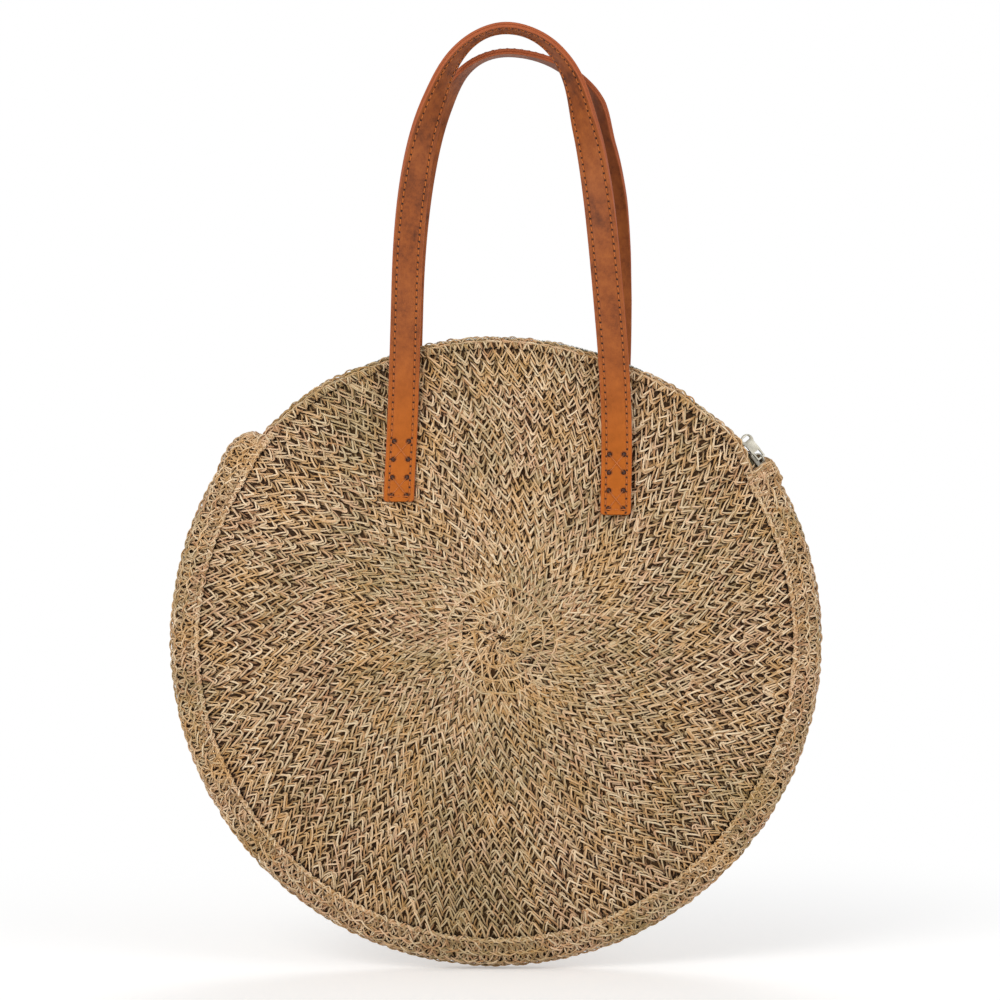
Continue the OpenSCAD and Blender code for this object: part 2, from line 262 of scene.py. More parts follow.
def newGroup(name, inputs, outputs):
    group = bpy.data.node_groups.new(name, "ShaderNodeTree")
    for label, value in inputs.items():
        socket = group.interface.new_socket(label, in_out="INPUT", socket_type="NodeSocketFloat")
        socket.default_value = value
    for label in outputs:
        group.interface.new_socket(label, in_out="OUTPUT", socket_type="NodeSocketFloat")
    return group, group.nodes.new("NodeGroupInput").outputs, group.nodes.new("NodeGroupOutput")


def useGroup(tree, group, inputs):
    return addNode(tree, "ShaderNodeGroup", inputs, node_tree=group).outputs


# Patches of slow and fast change, used by yarn, cloth and metal
def makePatches():
    group, given, put = newGroup("patches", {"Scale": 20.0, "Fine": 200.0, "Contrast": 1.5}, ("Slow", "Fast"))
    place = objectPlace(group)
    for label, scale in (("Slow", given["Scale"]), ("Fast", given["Fine"])):
        setInputs(put, {label: stretched(noise(place, scale, 3.0, 0.6), given["Contrast"])})
    return group


# Over and under threads of a plain weave, from coordinates in millimetres
def makeWeave():
    group, given, put = newGroup("weave", {"Along": 0.0, "Across": 0.0, "Thread": 0.5}, ("Height", "Shade"))
    u, v = (maths("DIVIDE", given[key], given["Thread"]) for key in ("Along", "Across"))
    waveU, waveV = (maths("SINE", mul(value, math.pi)) for value in (u, v))
    cell = combine(maths("FLOOR", u), maths("FLOOR", v))
    shade = addNode(group, "ShaderNodeTexWhiteNoise", {"Vector": cell}).outputs["Value"]
    setInputs(put, {"Height": add(mul(mul(waveU, waveV), 0.5), 0.5), "Shade": shade})
    return group


# Fine grain, handling marks and mottle of leather
def makeHide():
    group, given, put = newGroup("hide", {"Scale": 1.0}, ("Height", "Mottle"))
    place = addNode(group, "ShaderNodeVectorMath", {0: objectPlace(group), "Scale": given["Scale"]},
                    operation="SCALE").outputs[0]
    cells = addNode(group, "ShaderNodeTexVoronoi", {"Vector": place, "Scale": 900.0, "Randomness": 0.9},
                    feature="DISTANCE_TO_EDGE").outputs["Distance"]
    grain = maths("MINIMUM", mul(cells, 4.0), 1.0)
    marks = weighted(noise(place, 2200.0, 2.0, 0.6), 0.2, noise(place, 240.0, 4.0, 0.6), 0.6)
    mottle = weighted(noise(place, 46.0, 6.0, 0.66), 0.55, noise(place, 190.0, 5.0, 0.75), 0.45)
    setInputs(put, {"Height": add(mul(grain, 0.45), marks), "Mottle": stretched(mottle, 2.7)})
    return group


patches = makePatches()
weave = makeWeave()
hide = makeHide()


# Crochet yarn
yarnLook = {
    "dark": srgb(88, 54, 18), "mid": srgb(182, 146, 100), "light": srgb(254, 230, 194),
    "rose": srgb(198, 136, 94), "amber": srgb(212, 158, 82), "olive": srgb(150, 132, 78),
    "deep": srgb(50, 18, 0), "rough": 0.68, "sheen": 0.15,
    "radius": 0.5, "flat": 0.85, "taper": 0.55, "uneven": (-0.14, 0.16),  # in mm, then shares of it
    # deep is the dark brown of painted shade on strands that lie low, starting darkFrom mm under the surface
    # and full darkOver mm further down
    "darkFrom": 1.3, "darkOver": 1.5, "fibreLength": 90, "facesInPiece": 70000,
}


def makeYarnMaterial():
    look = yarnLook
    inputs = {"Roughness": look["rough"], "Sheen Weight": look["sheen"]}
    material, tree, shader = newMaterial("strawYarn", inputs)
    shade, along, around, paintedShade = (attribute(tree, key) for key in ("shade", "along", "around", "paintedShade"))
    spot = useGroup(tree, patches, {"Scale": 16.0, "Fine": 46.0, "Contrast": 2.0})
    # fibres run along the yarn with a slight twist
    place = combine(weighted(around, 9.0, along, 0.55), mul(along, 0.22), mul(shade, 61.0))
    fibre = noise(place, 1.6, 3.0, 0.65)
    base = ramp(weighted(shade, 0.55, fibre, 0.45),
                [(0.15, look["dark"]), (0.45, look["mid"]), (0.8, look["light"])])
    # some strands and patches are rose, amber or olive, and strands that lie low are mixed towards dark brown
    # as painted shade
    cast = maths("FRACT", mul(shade, 57.3))
    rose = mask(add(cast, sub(spot["Fast"], 0.5)), 0.55, 1.0)
    amber = mask(add(mul(cast, 0.3), sub(1.0, spot["Fast"])), 0.6, 1.0)
    olive = mask(sub(spot["Slow"], mul(cast, 0.5)), 0.15, 0.7)
    for key, amount, share in (("rose", rose, 0.42), ("amber", amber, 0.5), ("olive", olive, 0.5),
                               ("deep", paintedShade, 0.85)):
        base = mixColours(mul(amount, share), base, look[key])
    dress(shader, base, fibre, 0.5, 0.0003)
    return material


# A dark brown sheet under the yarn, painted shade for the gaps between strands
def makeShadeSheetMaterial():
    material, tree, shader = newMaterial("crochetShade", {"Roughness": 0.9})
    spot = useGroup(tree, patches, {"Scale": 16.0, "Fine": 260.0, "Contrast": 2.0})
    tone = ramp(spot["Fast"], [(0.2, srgb(34, 13, 0)), (0.7, srgb(66, 34, 6))])
    base = mixColours(mul(spot["Slow"], 0.7), tone, srgb(80, 56, 16))
    dress(shader, base, spot["Fast"], 0.6, 0.0006)
    return material


yarnMaterial = makeYarnMaterial()
shadeSheetMaterial = makeShadeSheetMaterial()


# Collects strands and writes them out in pieces of a fair size
class Crochet:
    def __init__(self, name, place, seed):
        self.name, self.place = name, place
        self.rng = np.random.default_rng(seed)
        self.parts, self.faces, self.pieces = [], 0, 0

    # Draws a small difference for each of n stitches, as a column, or for k points of each
    def varying(self, n):
        return lambda spread, k=1: self.rng.normal(0, spread, (n, k))

    # Even stitches over a sweep: a draw of small differences, their step and their angles as a column
    def spaced(self, sweep, radiusAt, pitch, spread, offset=0.0):
        n = round((sweep[1] - sweep[0]) * radiusAt / pitch)
        step = (sweep[1] - sweep[0]) / n
        vary = self.varying(n)
        return vary, step, sweep[0] + step * (np.arange(n)[:, None] + offset + vary(spread))

    # s, angle and lift are in the surface's own coordinates, one row for each strand; tone is the range of each
    # strand's random shade, which the callers set darker for strands that lie lower as painted shade
    def strands(self, s, angle, lift, tone, thick=1.0, sides=6):
        look = yarnLook
        s, angle, lift = np.broadcast_arrays(s, angle, lift)
        n, k = s.shape
        ends = np.ones(k)
        ends[[0, -1]] = look["taper"]
        wide = look["radius"] * thick * (1 + self.rng.uniform(*look["uneven"], (n, 1))) * ends
        points, faces, along, around = tubes(*self.place(s, angle, lift), wide, sides, look["flat"])
        shade = np.repeat(self.rng.uniform(*tone, n), k * sides)
        # painted shade: strands that lie low get darker
        paintedShade = np.repeat(np.clip((-lift - look["darkFrom"]) / look["darkOver"], 0, 1).ravel(), sides)
        along = along + np.repeat(self.rng.uniform(0, look["fibreLength"], n), k * sides)
        self.parts.append((points, faces, along, around, shade, paintedShade))
        self.faces += len(faces)
        if self.faces > look["facesInPiece"]:
            self.flush()

    def flush(self):
        if not self.parts:
            return
        points, faces, *values = zip(*self.parts)
        starts = np.cumsum([0] + [len(p) for p in points[:-1]])
        faces = np.concatenate([f + start for f, start in zip(faces, starts)])
        values = {key: np.concatenate(v) for key, v in zip(("along", "around", "shade", "paintedShade"), values)}
        self.pieces += 1
        makePiece(f"{self.name}_{self.pieces}", np.concatenate(points), faces, yarnMaterial, values)
        self.parts, self.faces = [], 0


# Crochet panels. A wave is its size, how often it goes round, its phase and its length outwards.
panelLook = {
    "rows": 21, "firstRow": 33.0, "lastRow": 181.0, "baseStitches": 32.7, "moreStitches": 0.646, "slant": 0.17,
    # radius, stitches, looseness, splay and strands to a stitch of each round in the middle
    "firstRounds": ((4.0, 12, 3.2, 1.5, 8), (9.8, 23, 2.6, 1.6, 7), (16.8, 34, 1.8, 1.5, 7),
                    (25.4, 44, 1.4, 1.3, 7)),
    "firstStop": 33.4, "firstThick": 0.92,
    "ringsFrom": 10.0, "ringPitch": 9.5, "ringLift": -0.1, "ringWidth": 0.75,
    "centreX": 3.4, "centreY": 2.2, "sway": 0.7, "shadeSheetLift": -2.7,
    "outWaves": ((0.8, 3, 0.9, 31), (0.6, 5, -1.1, 17), (0.5, 11, 0, 9)),
    "roundWaves": ((1.4, 2, 0, 19), (0.9, 6, 0, -13)),
}
rimLook = {"ends": 2.5, "slider": 3.0, "top": 2.6}


# Towards the ends of the mouth the rim stands out a little; across its top it is pulled in
def rimBulge(angle):
    c, s = np.cos(angle), np.sin(angle)
    ends = rimLook["ends"] * smooth((np.abs(c) - 0.3) / 0.4) + rimLook["slider"] * smooth((c - 0.66) / 0.12)
    return ends * smooth((s - 0.5) / 0.15) - rimLook["top"] * smooth((s - 0.8) / 0.13)


def waves(table, angle, r):
    return sum(size * np.sin(count * angle + phase + r / length) for size, count, phase, length in table)


def panelPlace(side):
    look = panelLook
    dome = bag["midDepth"] - bag["edgeDepth"]
    power = bag["domePower"]
    reach = sideR(side) / bag["discR"]

    def place(r, angle, lift):
        inside = np.clip(1.04 - r / bag["discR"], 0, 1)
        sway = look["sway"] * side * np.minimum(inside * 3, 1)
        r = r + sway * waves(look["outWaves"], angle, r) * np.minimum(r / 16, 1)
        angle = angle + sway * waves(look["roundWaves"], angle, r) / (r + 12)
        r = r + rimBulge(angle) * smooth((r - 120) / 60)
        share = np.clip(r / reach / bag["discR"], 0, 1.05)
        z = bag["midDepth"] - dome * share ** power + lift
        slope = dome * power * share ** (power - 1) / sideR(side)
        fade = np.clip(1 - r / bag["discR"], 0, 1)
        centre = np.array([look["centreX"], look["centreY"], 0.0])
        return polar(r, angle, side * z) + fade[..., None] * centre, unit(polar(slope, angle, side))

    return place


# Half of the way from one neighbour to the other
def roomOf(angles):
    return (np.roll(angles, -1) - np.roll(angles, 1)) % fullTurn / 2


# The stitches of the next round: each sits on one of this round, and the widest spaced ones get two
def nextRound(rng, angles, count, slant):
    n = len(angles)
    room = roomOf(angles)
    doubled = np.zeros(n, bool)
    for i in np.argsort(-room * (1 + 0.3 * rng.random(n))):
        if doubled.sum() >= count - n:
            break
        if count > 1.45 * n or not (doubled[i - 1] or doubled[(i + 1) % n]):
            doubled[i] = True
    pairs = [(angles[i] + shift * room[i], angles[i] + 0.3 * shift * room[i])
             for i in range(n) for shift in ((-0.24, 0.24) if doubled[i] else (0.0,))]
    child, parent = np.array(pairs).T
    for _ in range(8):
        middle = np.roll(child, 1) + roomOf(child)
        child = child + 0.45 * np.angle(np.exp(1j * (middle - child)))
    room = roomOf(child)
    return child + slant * room, parent, room


# Strands of one stitch: where each starts and ends, beside the stitch's own middle in shares of its
# room and outwards in shares of the row, then its bow, height, fall, thickness and tone
# their tone ranges run darker for the strands that lie lower: painted shade over random tone
stitchStrands = (
    (-0.1, -0.06, 0.8, 1.14, 0.5, 0.45, 0.9, 1.06, (0.6, 1.0)),
    (0.12, -0.06, -0.34, 0.86, -0.5, 0.5, 0.95, 1.06, (0.5, 1.0)),
    (0.24, -0.08, 1.0, 0.95, 0.4, -0.15, 0.7, 0.98, (0.15, 0.85)),
    (-0.2, 0.02, -0.5, 1.04, -0.3, -0.2, 0.6, 0.95, (0.15, 0.8)),
    (0.12, 0.42, 0.62, 1.2, 0.3, -0.25, 0.6, 0.95, (0.2, 0.95)),
    (-0.04, 0.46, -0.18, 1.2, -0.2, -0.6, 0.4, 0.95, (0.0, 0.6)),
    (0.42, 0.2, 0.02, 1.05, 0.3, -0.7, 0.3, 0.95, (0.0, 0.6)),
    (0.56, 0.3, 0.2, 1.1, 0.2, -1.2, 0.2, 1.0, (0.0, 0.3)),
    (-0.44, 0.0, -0.1, 0.9, 0.3, -1.3, 0.2, 1.0, (0.0, 0.3)),
)


# One round of stitches, each a short steep leg and a long slanting one over looser strands
def chevronRow(work, r, rowPitch, stitches, thick=1.0, loose=1.0, splay=1.0, strands=stitchStrands):
    angles, before, room = stitches
    turn = work.rng.normal(0, 0.06, len(angles)) - 0.22
    apex = (before + 0.25 * np.angle(np.exp(1j * (angles - before))) + turn * room)[:, None]
    room = room[:, None]
    vary = work.varying(len(angles))
    slip = vary(0.42)

    def near(value, spread):
        return value + vary(spread * loose)

    for a0, s0, a1, s1, bow, rise, fall, wide, tone in strands:
        low = rise < -0.9
        k = 7 if rise > 0 else 5 if low else 6
        t = np.linspace(0, 1, k)
        hump = 4 * t * (1 - t)
        beside = near(a0, 0.1 if low else 0.07) * (1 - t) + near(a1, 0.18 if low else 0.12) * t
        beside = beside * splay * room + near(bow * 0.6, 0.45) * hump / r
        outward = near(s0, 0.07) * (1 - t) + near(s1, 0.11) * t ** 1.05
        s = r + slip + rowPitch * outward + vary(0.07, k)
        arch = np.sin(np.pi * np.clip(t, 0.1, 1) ** 0.8) - 0.9 * t ** 3 - 0.35
        lift = -1.05 + near(rise, 0.22) + fall * arch
        work.strands(s, apex + beside, lift, tone, thick * wide, 4 if low else 6)
    # the hook at the head of each stitch
    t = np.linspace(-1, 1, 7)
    angle = apex + (0.27 + vary(0.04)) * room * (t + 0.1)
    s = r + slip + vary(0.25) - 0.9 + 2.4 * np.abs(t) ** 2.2 + 0.5 * t
    lift = -0.1 - 0.9 * np.abs(t) ** 1.5 + vary(0.2)
    work.strands(s, angle, lift, (0.4, 1.0), thick * 1.04)


# A raised line of chain stitches at one radius or arc length
def ridge(work, s0, radiusAt, pitch, lift, width, sweep=(0, fullTurn), thick=1.0):
    vary, step, at = work.spaced(sweep, radiusAt, pitch, 0.05)
    t = np.linspace(0, 1, 7)
    # the lower strands get darker tone ranges, painted shade
    for sign, rise, tone in ((1, 0.35, (0.4, 1.0)), (-1, 0.0, (0.2, 0.9)), (0.4, -0.3, (0.1, 0.7))):
        slip = vary(0.12)
        angle = at + step * (-0.25 + slip + (1.35 + vary(0.12)) * t)
        s = s0 + sign * width * (t * 1.9 - 0.9) + vary(0.35) + vary(0.12, 7)
        up = lift - 1.1 + (1.0 + rise) * np.sin(np.pi * t) + vary(0.2)
        work.strands(s, angle, up, tone, thick)


# A disc of two faces, at two depths under a panel's surface, with its radii and angles
def discSheet(side, margin, around, depths, sagWaves=()):
    radii = np.linspace(0.5, sideR(side) - margin, 60)
    r, a = np.meshgrid(radii, np.linspace(0, fullTurn, around + 1)[:-1], indexing="ij")
    sag = sum(0.25 * np.sin(m * a + phase) * np.sin(n * np.pi * r / radii[-1]) for m, n, phase in sagWaves)
    outer, inner = (panelPlace(side)(r, a, depth + 0.3 * sag)[0] for depth in depths)
    faces = ringFaces(2 * len(radii), around)
    return np.concatenate([outer, inner[::-1]]), faces if side > 0 else faces[:, ::-1], r, a


def makePanel(side, name, seed):
    look = panelLook
    work = Crochet(name, panelPlace(side), seed)

    def ring(r):
        ridge(work, r, r, look["ringPitch"], look["ringLift"], look["ringWidth"], thick=look["firstThick"])

    # the first rounds, worked from the middle: posts between thin raised rings
    rounds = look["firstRounds"]
    angles = (np.arange(rounds[0][1]) + work.rng.normal(0, 0.08, rounds[0][1])) * fullTurn / rounds[0][1]
    stops = [later[0] for later in rounds[1:]] + [look["firstStop"]]
    for (r, count, loose, splay, most), stop in zip(rounds, stops):
        stitches = nextRound(work.rng, angles, count, 0.0)
        chevronRow(work, r, stop - r, stitches, look["firstThick"], loose, splay, stitchStrands[:most])
        angles = stitches[0]
        if r > look["ringsFrom"]:
            ring(r)
    ring(look["firstStop"])
    share = np.arange(look["rows"] + 1) / look["rows"]
    edges = look["firstRow"] + (look["lastRow"] - look["firstRow"]) * (0.88 * share + 0.12 * share ** 1.8)
    for r, rowPitch in zip(edges[:-1], np.diff(edges)):
        count = round(look["baseStitches"] + look["moreStitches"] * (r + 0.6 * rowPitch))
        stitches = nextRound(work.rng, angles, count, look["slant"])
        chevronRow(work, r, rowPitch, stitches)
        angles = stitches[0]
    work.flush()
    # a dark sheet behind the stitches: painted shade that shows through the gaps
    points, faces, *_ = discSheet(side, 1.5, 180, (look["shadeSheetLift"], -bag["crochetT"]))
    makePiece(name + "_shadeSheet", points, faces, shadeSheetMaterial, node=sideName(side) + "_panel")
    print(name, "in", work.pieces, "pieces of yarn")


makePanel(1, "frontCrochet", 11)
makePanel(-1, "backCrochet", 23)


# Edge chains, the rounds of chain stitches on each rim. Runs are place, width, lift and slant.
chainLook = {
    "tubeR": 2.6, "core": 1.6, "pitch": 8.0, "legPitch": 7.5, "loopPitch": 7.4, "loop": 2.9,
    "belowRuns": ((-1.6, 1.6, -0.9, -1), (3.6, 1.6, -0.8, 1), (5.2, 1.6, -0.8, -1)),
    "mouthRuns": ((3.4, 2.0, -0.5, 1), (5.2, 2.0, -0.5, -1), (6.8, 2.0, -0.6, 1)),
    # in both tables the lower strands get darker tone ranges, painted shade
    # offset, height, place and tone of the open loops
    "loops": ((-0.1, 1.0, 3.9, (0.1, 0.9)), (0.1, 0.75, 4.9, (0.0, 0.7)), (0.3, 0.85, 4.4, (0.0, 0.6)),
              (0.0, 0.45, 5.6, (0.0, 0.6))),
    # offset, tilt, lift and tone of the legs
    "legs": ((0.0, 0.5, 0.3, (0.6, 1.0)), (0.06, -0.36, 0.35, (0.5, 1.0)), (0.24, 0.45, -0.1, (0.2, 0.9)),
             (0.86, -0.4, -0.1, (0.2, 0.9)), (0.42, 0.4, -0.4, (0.1, 0.8)), (0.6, -0.1, -0.5, (0.1, 0.8)),
             (0.8, 0.3, -0.8, (0.0, 0.6)), (0.95, 0.1, -1.1, (0.0, 0.5))),
}


# s runs round the chain's own section in mm, from the face outwards
def chainPlace(side):
    tubeR = chainLook["tubeR"]

    def place(s, angle, lift):
        turn = s / tubeR
        r = sideR(side) + rimBulge(angle) + (tubeR + lift) * np.sin(turn)
        z = side * (bag["chainH"] + (tubeR + lift) * np.cos(turn))
        return polar(r, angle, z), polar(np.sin(turn), angle, side * np.cos(turn))

    return place


# Long overlapping links, each a slanting pair of strands over a lower one
def chainRun(work, s0, radiusAt, sweep, width, lift, slant):
    vary, step, at = work.spaced(sweep, radiusAt, chainLook["pitch"], 0.06)
    t = np.linspace(0, 1, 8)
    # the lower strands get darker tone ranges, painted shade
    for sign, first, reach, rise, tone in ((1, -0.2, 1.75, 0.35, (0.5, 1.0)), (1, 0.3, 1.5, 0.0, (0.25, 0.95)),
                                           (-0.6, 0.1, 1.1, -0.5, (0.0, 0.7))):
        angle = at + step * (first + vary(0.1) + (reach + vary(0.12)) * t)
        s = s0 + sign * slant * width * (t - 0.5) + vary(0.28) + vary(0.08, 8)
        up = lift - 1.0 + (1.1 + rise) * np.sin(np.pi * t ** 0.85) + vary(0.14)
        work.strands(s, angle, up, tone)


def makeEdgeChain(side, name, seed):
    look = chainLook
    work = Crochet(name, chainPlace(side), seed)
    rim = sideR(side)
    mouth = (math.radians(bag["gussetRight"] - 2), math.radians(bag["gussetLeft"] + 2))
    below = (mouth[1] - 0.06, fullTurn + mouth[0] + 0.06)
    ridge(work, -0.7, rim, 6.4, -0.45, 2.2, below)
    for sweep, runs in ((below, look["belowRuns"]), (mouth, look["mouthRuns"])):
        for s0, width, lift, slant in runs:
            chainRun(work, s0, rim, sweep, width, lift, slant)
    # open loops that stand on the rim of the mouth, lower where the slider waits
    vary, step, at = work.spaced(mouth, rim, look["loopPitch"], 0.07, 0.5)
    low = 1 - 0.8 * smooth((0.6 - np.sin(at)) / 0.06) * (np.cos(at) > 0)
    t = np.linspace(0, 1, 9)
    for shift, height, across, tone in look["loops"]:
        angle = at + step * (shift + vary(0.07) + 1.15 * (t - 0.5))
        tall = look["loop"] * (height * low * work.rng.uniform(0.75, 1.15, at.shape))
        s = across + vary(0.3) + 0.7 * (t - 0.5)
        work.strands(s, angle, -0.9 + tall * np.sin(np.pi * t) ** 0.7, tone)
    # legs that bind the chain to the last round; at the mouth they climb over the rim
    t = np.linspace(0, 1, 8)
    for sweep, first, reach in ((below, -3.8, 4.4), (mouth, -4.6, 7.8)):
        vary, step, at = work.spaced(sweep, rim, look["legPitch"], 0.07)
        for offset, tilt, lift, tone in look["legs"]:
            angle = at + step * (offset + tilt * t + vary(0.08))
            s = first + vary(0.4) + (reach + vary(0.7)) * t
            work.strands(s, angle, lift - 0.9 * (2 * t - 1) ** 2 + vary(0.15), tone)
    work.flush()
    # a dark tube inside the chain, painted shade between its loops
    a, b = np.meshgrid(*(np.linspace(0, fullTurn, count + 1)[:-1] for count in (240, 12)), indexing="ij")
    r = rim + rimBulge(a) + look["core"] * np.cos(b)
    points = polar(r, a, side * bag["chainH"] + look["core"] * np.sin(b))
    faces = ringFaces(len(a) + 1, a.shape[1]) % a.size
    makePiece(name + "_shadeCore", points, faces, shadeSheetMaterial, node=sideName(side) + "_edge_chain")


makeEdgeChain(1, "frontEdge", 31)
makeEdgeChain(-1, "backEdge", 37)
print("edge chains made")


# Gusset. Its left end is round, its right one stands up beside the slider.
gussetLook = {
    "rows": 6, "pitch": 7.6, "rightEnd": 33.3, "shadeSheetLift": -2.6, "leftFlare": 2.7, "leftRound": 7.0,
    "rightFlare": 4.2, "rightRound": 3.2, "over": 2.6, "dip": 2.5, "dipAt": 1.0,
    "arc": bag["noseAt"] - bag["discR"] + math.pi * bag["noseR"],
    # offset, tilt and tone of the strands over each chain
    "overChains": ((0.0, 0.6, (0.4, 1.0)), (0.4, -0.3, (0.2, 0.9)), (0.72, 0.4, (0.0, 0.7))),
    # degrees in from the end, and lift, of the rows along it
    "endRows": ((0.1, 0.1), (0.5, 0.2), (0.95, -0.1), (1.4, -0.3), (1.9, -0.6), (-0.1, -1.1), (-0.15, -2.2),
                (0.0, -3.2)),
    # shift, reach and tone of the loops that bind it
    "endLoops": ((0.0, 2.2, (0.3, 1.0)), (0.9, 1.6, (0.1, 0.9)), (1.9, 1.9, (0.1, 0.8))),
}


def corner(share):
    return 1 - np.sqrt(np.maximum(1 - (1 - np.clip(share, 0, 1)) ** 2, 0))


# s runs over the gusset's face from the front chain to the back one
def gussetPlace(s, angle, lift):
    look = gussetLook
    flat = bag["noseAt"] - bag["discR"]
    turn = np.maximum(s - flat, 0) / bag["noseR"]
    start, stop = math.radians(bag["gussetLeft"]), math.radians(360 + look["rightEnd"])
    left, right = np.degrees(angle - start), np.degrees(stop - angle)
    # a soft corner at the left end, a full one at the right whose back half reaches on beside the slider
    out = look["leftFlare"] * smooth((left - 1) / 3) * (1 - smooth((left - 6) / 5))
    out = out - look["leftRound"] * corner(left / 2.6)
    # the middle of the right end dips, so the tab has room to swing over
    beside = smooth((np.abs(bag["noseR"] * np.cos(turn) - look["dipAt"]) - 4) / 4)
    flare = look["rightFlare"] * (0.6 + 0.9 * beside)
    out = out + flare * (1 - smooth((right - 1.8) / 1.6)) - look["rightRound"] * corner(right / 1.0)
    out = lift + np.sin(np.clip(turn, 0, np.pi)) * out
    shift = look["over"] * smooth((turn - 1.9) / 0.7) - look["dip"] * (1 - beside)
    angle = angle + np.radians(shift) * smooth(1 - right / 6)
    r = bag["noseAt"] + (bag["noseR"] + out) * np.sin(turn) - np.maximum(flat - s, 0)
    return polar(r, angle, (bag["noseR"] + out) * np.cos(turn)), polar(np.sin(turn), angle, np.cos(turn))


# Posts and crossings between two ridges
def ladder(work, s0, s1, radiusAt, pitch, lift, sweep):
    vary, step, at = work.spaced(sweep, radiusAt, pitch, 0.05, 0.5)
    t = np.linspace(0, 1, 6)
    # the lower strands get darker tone ranges, painted shade
    for offset, tilt, rise, tone in ((-0.16, 0.12, 0.9, (0.5, 1)), (0.1, -0.3, 0.8, (0.4, 1)),
                                     (0.0, 0.6, 0.6, (0.3, 1.0)), (0.6, -0.55, 0.35, (0.2, 0.9)),
                                     (0.36, 0.3, 0.1, (0.2, 0.8)), (0.68, -0.3, 0.0, (0.1, 0.8)),
                                     (0.9, 0.1, -0.1, (0.1, 0.8)), (0.25, -0.3, -0.4, (0.0, 0.6)),
                                     (0.5, 0.5, -0.5, (0.0, 0.6)), (0.85, 0.3, -0.7, (0.0, 0.5))):
        angle = at + step * (offset + (tilt + vary(0.12)) * (t - 0.2) + vary(0.07))
        up = lift - 0.9 * (2 * t - 1) ** 2 + rise + vary(0.16)
        work.strands(s0 + (s1 - s0) * t + vary(0.25), angle, up, tone, 0.95)


def makeGusset():
    look = gussetLook
    arc = look["arc"]
    work = Crochet("gussetCrochet", gussetPlace, 53)
    sweep = (math.radians(bag["gussetLeft"] + 0.6), math.radians(359.4 + look["rightEnd"]))
    row = arc / look["rows"]
    for i in range(look["rows"]):
        s0, s1 = i * row, (i + 1) * row
        radiusAt = bag["noseAt"] + bag["noseR"] * math.sin(min(0.5 * (s0 + s1) / bag["noseR"], math.pi))
        ladder(work, s0 + 0.2, s1 + 0.2, radiusAt, look["pitch"], -1.25, sweep)
        if i:
            ridge(work, s0, radiusAt, 6.4, 0.0, 2.2, sweep)
    # strands that pass over each chain onto the band
    t = np.linspace(0, 1, 7)
    for first, reach in ((0.2, 5.4), (arc + 1.2, -6.2)):
        vary, step, at = work.spaced(sweep, bag["noseAt"], look["pitch"], 0.06)
        for offset, tilt, tone in look["overChains"]:
            angle = np.clip(at + step * (offset + tilt * t + vary(0.08)), *sweep)
            up = 2.0 - 2.7 * smooth(t * 1.15 - 0.15) + vary(0.15)
            work.strands(first + reach * t + vary(0.35), angle, up, tone)
    # the worked ends of the band, beside the zip
    for edge, inward in ((bag["gussetLeft"], 1), (360 + look["rightEnd"], -1)):
        n, t = 8, np.linspace(0, 1, 7)
        vary = work.varying(n)
        for lane, lift in look["endRows"]:
            s = arc * ((np.arange(n)[:, None] - 0.1 + vary(0.12) + 1.35 * t) / (n + 0.3))
            angle = np.radians(edge + inward * (lane + 0.3 * (t - 0.5) * work.rng.choice([-1, 1], (n, 1))))
            work.strands(s, angle, lift - 0.8 + np.sin(np.pi * t) + vary(0.2), (0.2, 1.0))
        # loops that bind the cut edge, from the outer face to the inner one
        n, t = 16, np.linspace(0, 1, 8)
        vary = work.varying(n)
        s0 = arc * (np.arange(n)[:, None] + 0.5 + vary(0.1)) / n
        for shift, reach, tone in look["endLoops"]:
            angle = np.radians(edge + inward * (reach * (1 - t) ** 1.5 - 0.28 * np.sin(np.pi * t ** 0.7)))
            work.strands(s0 + shift + 1.6 * t + vary(0.3), angle, 0.2 - 3.6 * t ** 1.6, tone)
    work.flush()
    # a dark sheet under the gusset's yarn, painted shade for its gaps
    fine = np.radians(np.linspace(0, 3, 16))
    between = np.linspace(sweep[0] + fine[-1], sweep[1] - fine[-1], 250)[1:-1]
    angles = np.concatenate([sweep[0] + fine, between, sweep[1] - fine[::-1]])
    a, s = np.meshgrid(angles, np.linspace(0.0, arc, 33), indexing="ij")
    outer, inner = (gussetPlace(s, a, lift)[0] for lift in (look["shadeSheetLift"], -bag["crochetT"]))
    points = np.concatenate([outer, inner[:, ::-1]], 1)
    faces = sweptFaces(*points.shape[:2])
    makePiece("gussetCrochet_shadeSheet", points, faces, shadeSheetMaterial, node="gusset_band")
    print("gusset in", work.pieces, "pieces of yarn")


makeGusset()


# Leather straps
strapLook = {
    "width": 18.5, "outerT": 1.9, "backT": 1.6, "legHalf": 67.0, "aside": 6.5, "foldUp": 130.0,
    "faceH": 27.4242, "archH": 245.2, "archStep": 12.0, "twist": 88.0, "twistFrom": 8.0, "twistTo": 84.0,
    "spanPower": 2.1, "risePower": 2.65, "gap": 3.6, "foldGap": 0.3, "leftEnd": 45.0, "rightEnd": 53.0,
    "sewnLean": 6.38035, "corner": 2.0, "stitchIn": 3.0, "stitchPitch": 4.3, "stitchL": 3.1, "stitchR": 0.42,
    "holeR": 1.5, "holeAcross": 9.0, "holeRow": 11.0, "holeFoot": 3.6, "step": 1.6,
    "edgeR": 0.55, "innerEdgeR": 0.25, "grooveDip": 0.2, "grooveWide": 0.45, "crown": 0.16, "wobble": 0.28,
    "easedOver": 6, "easings": 6, "stitchSunk": 0.12, "stitchRise": 0.34, "stitchDive": 2.55,
    "bend": (-0.001, 0.013),  # from the fold line, in metres
}
strapT = strapLook["outerT"] + strapLook["backT"]
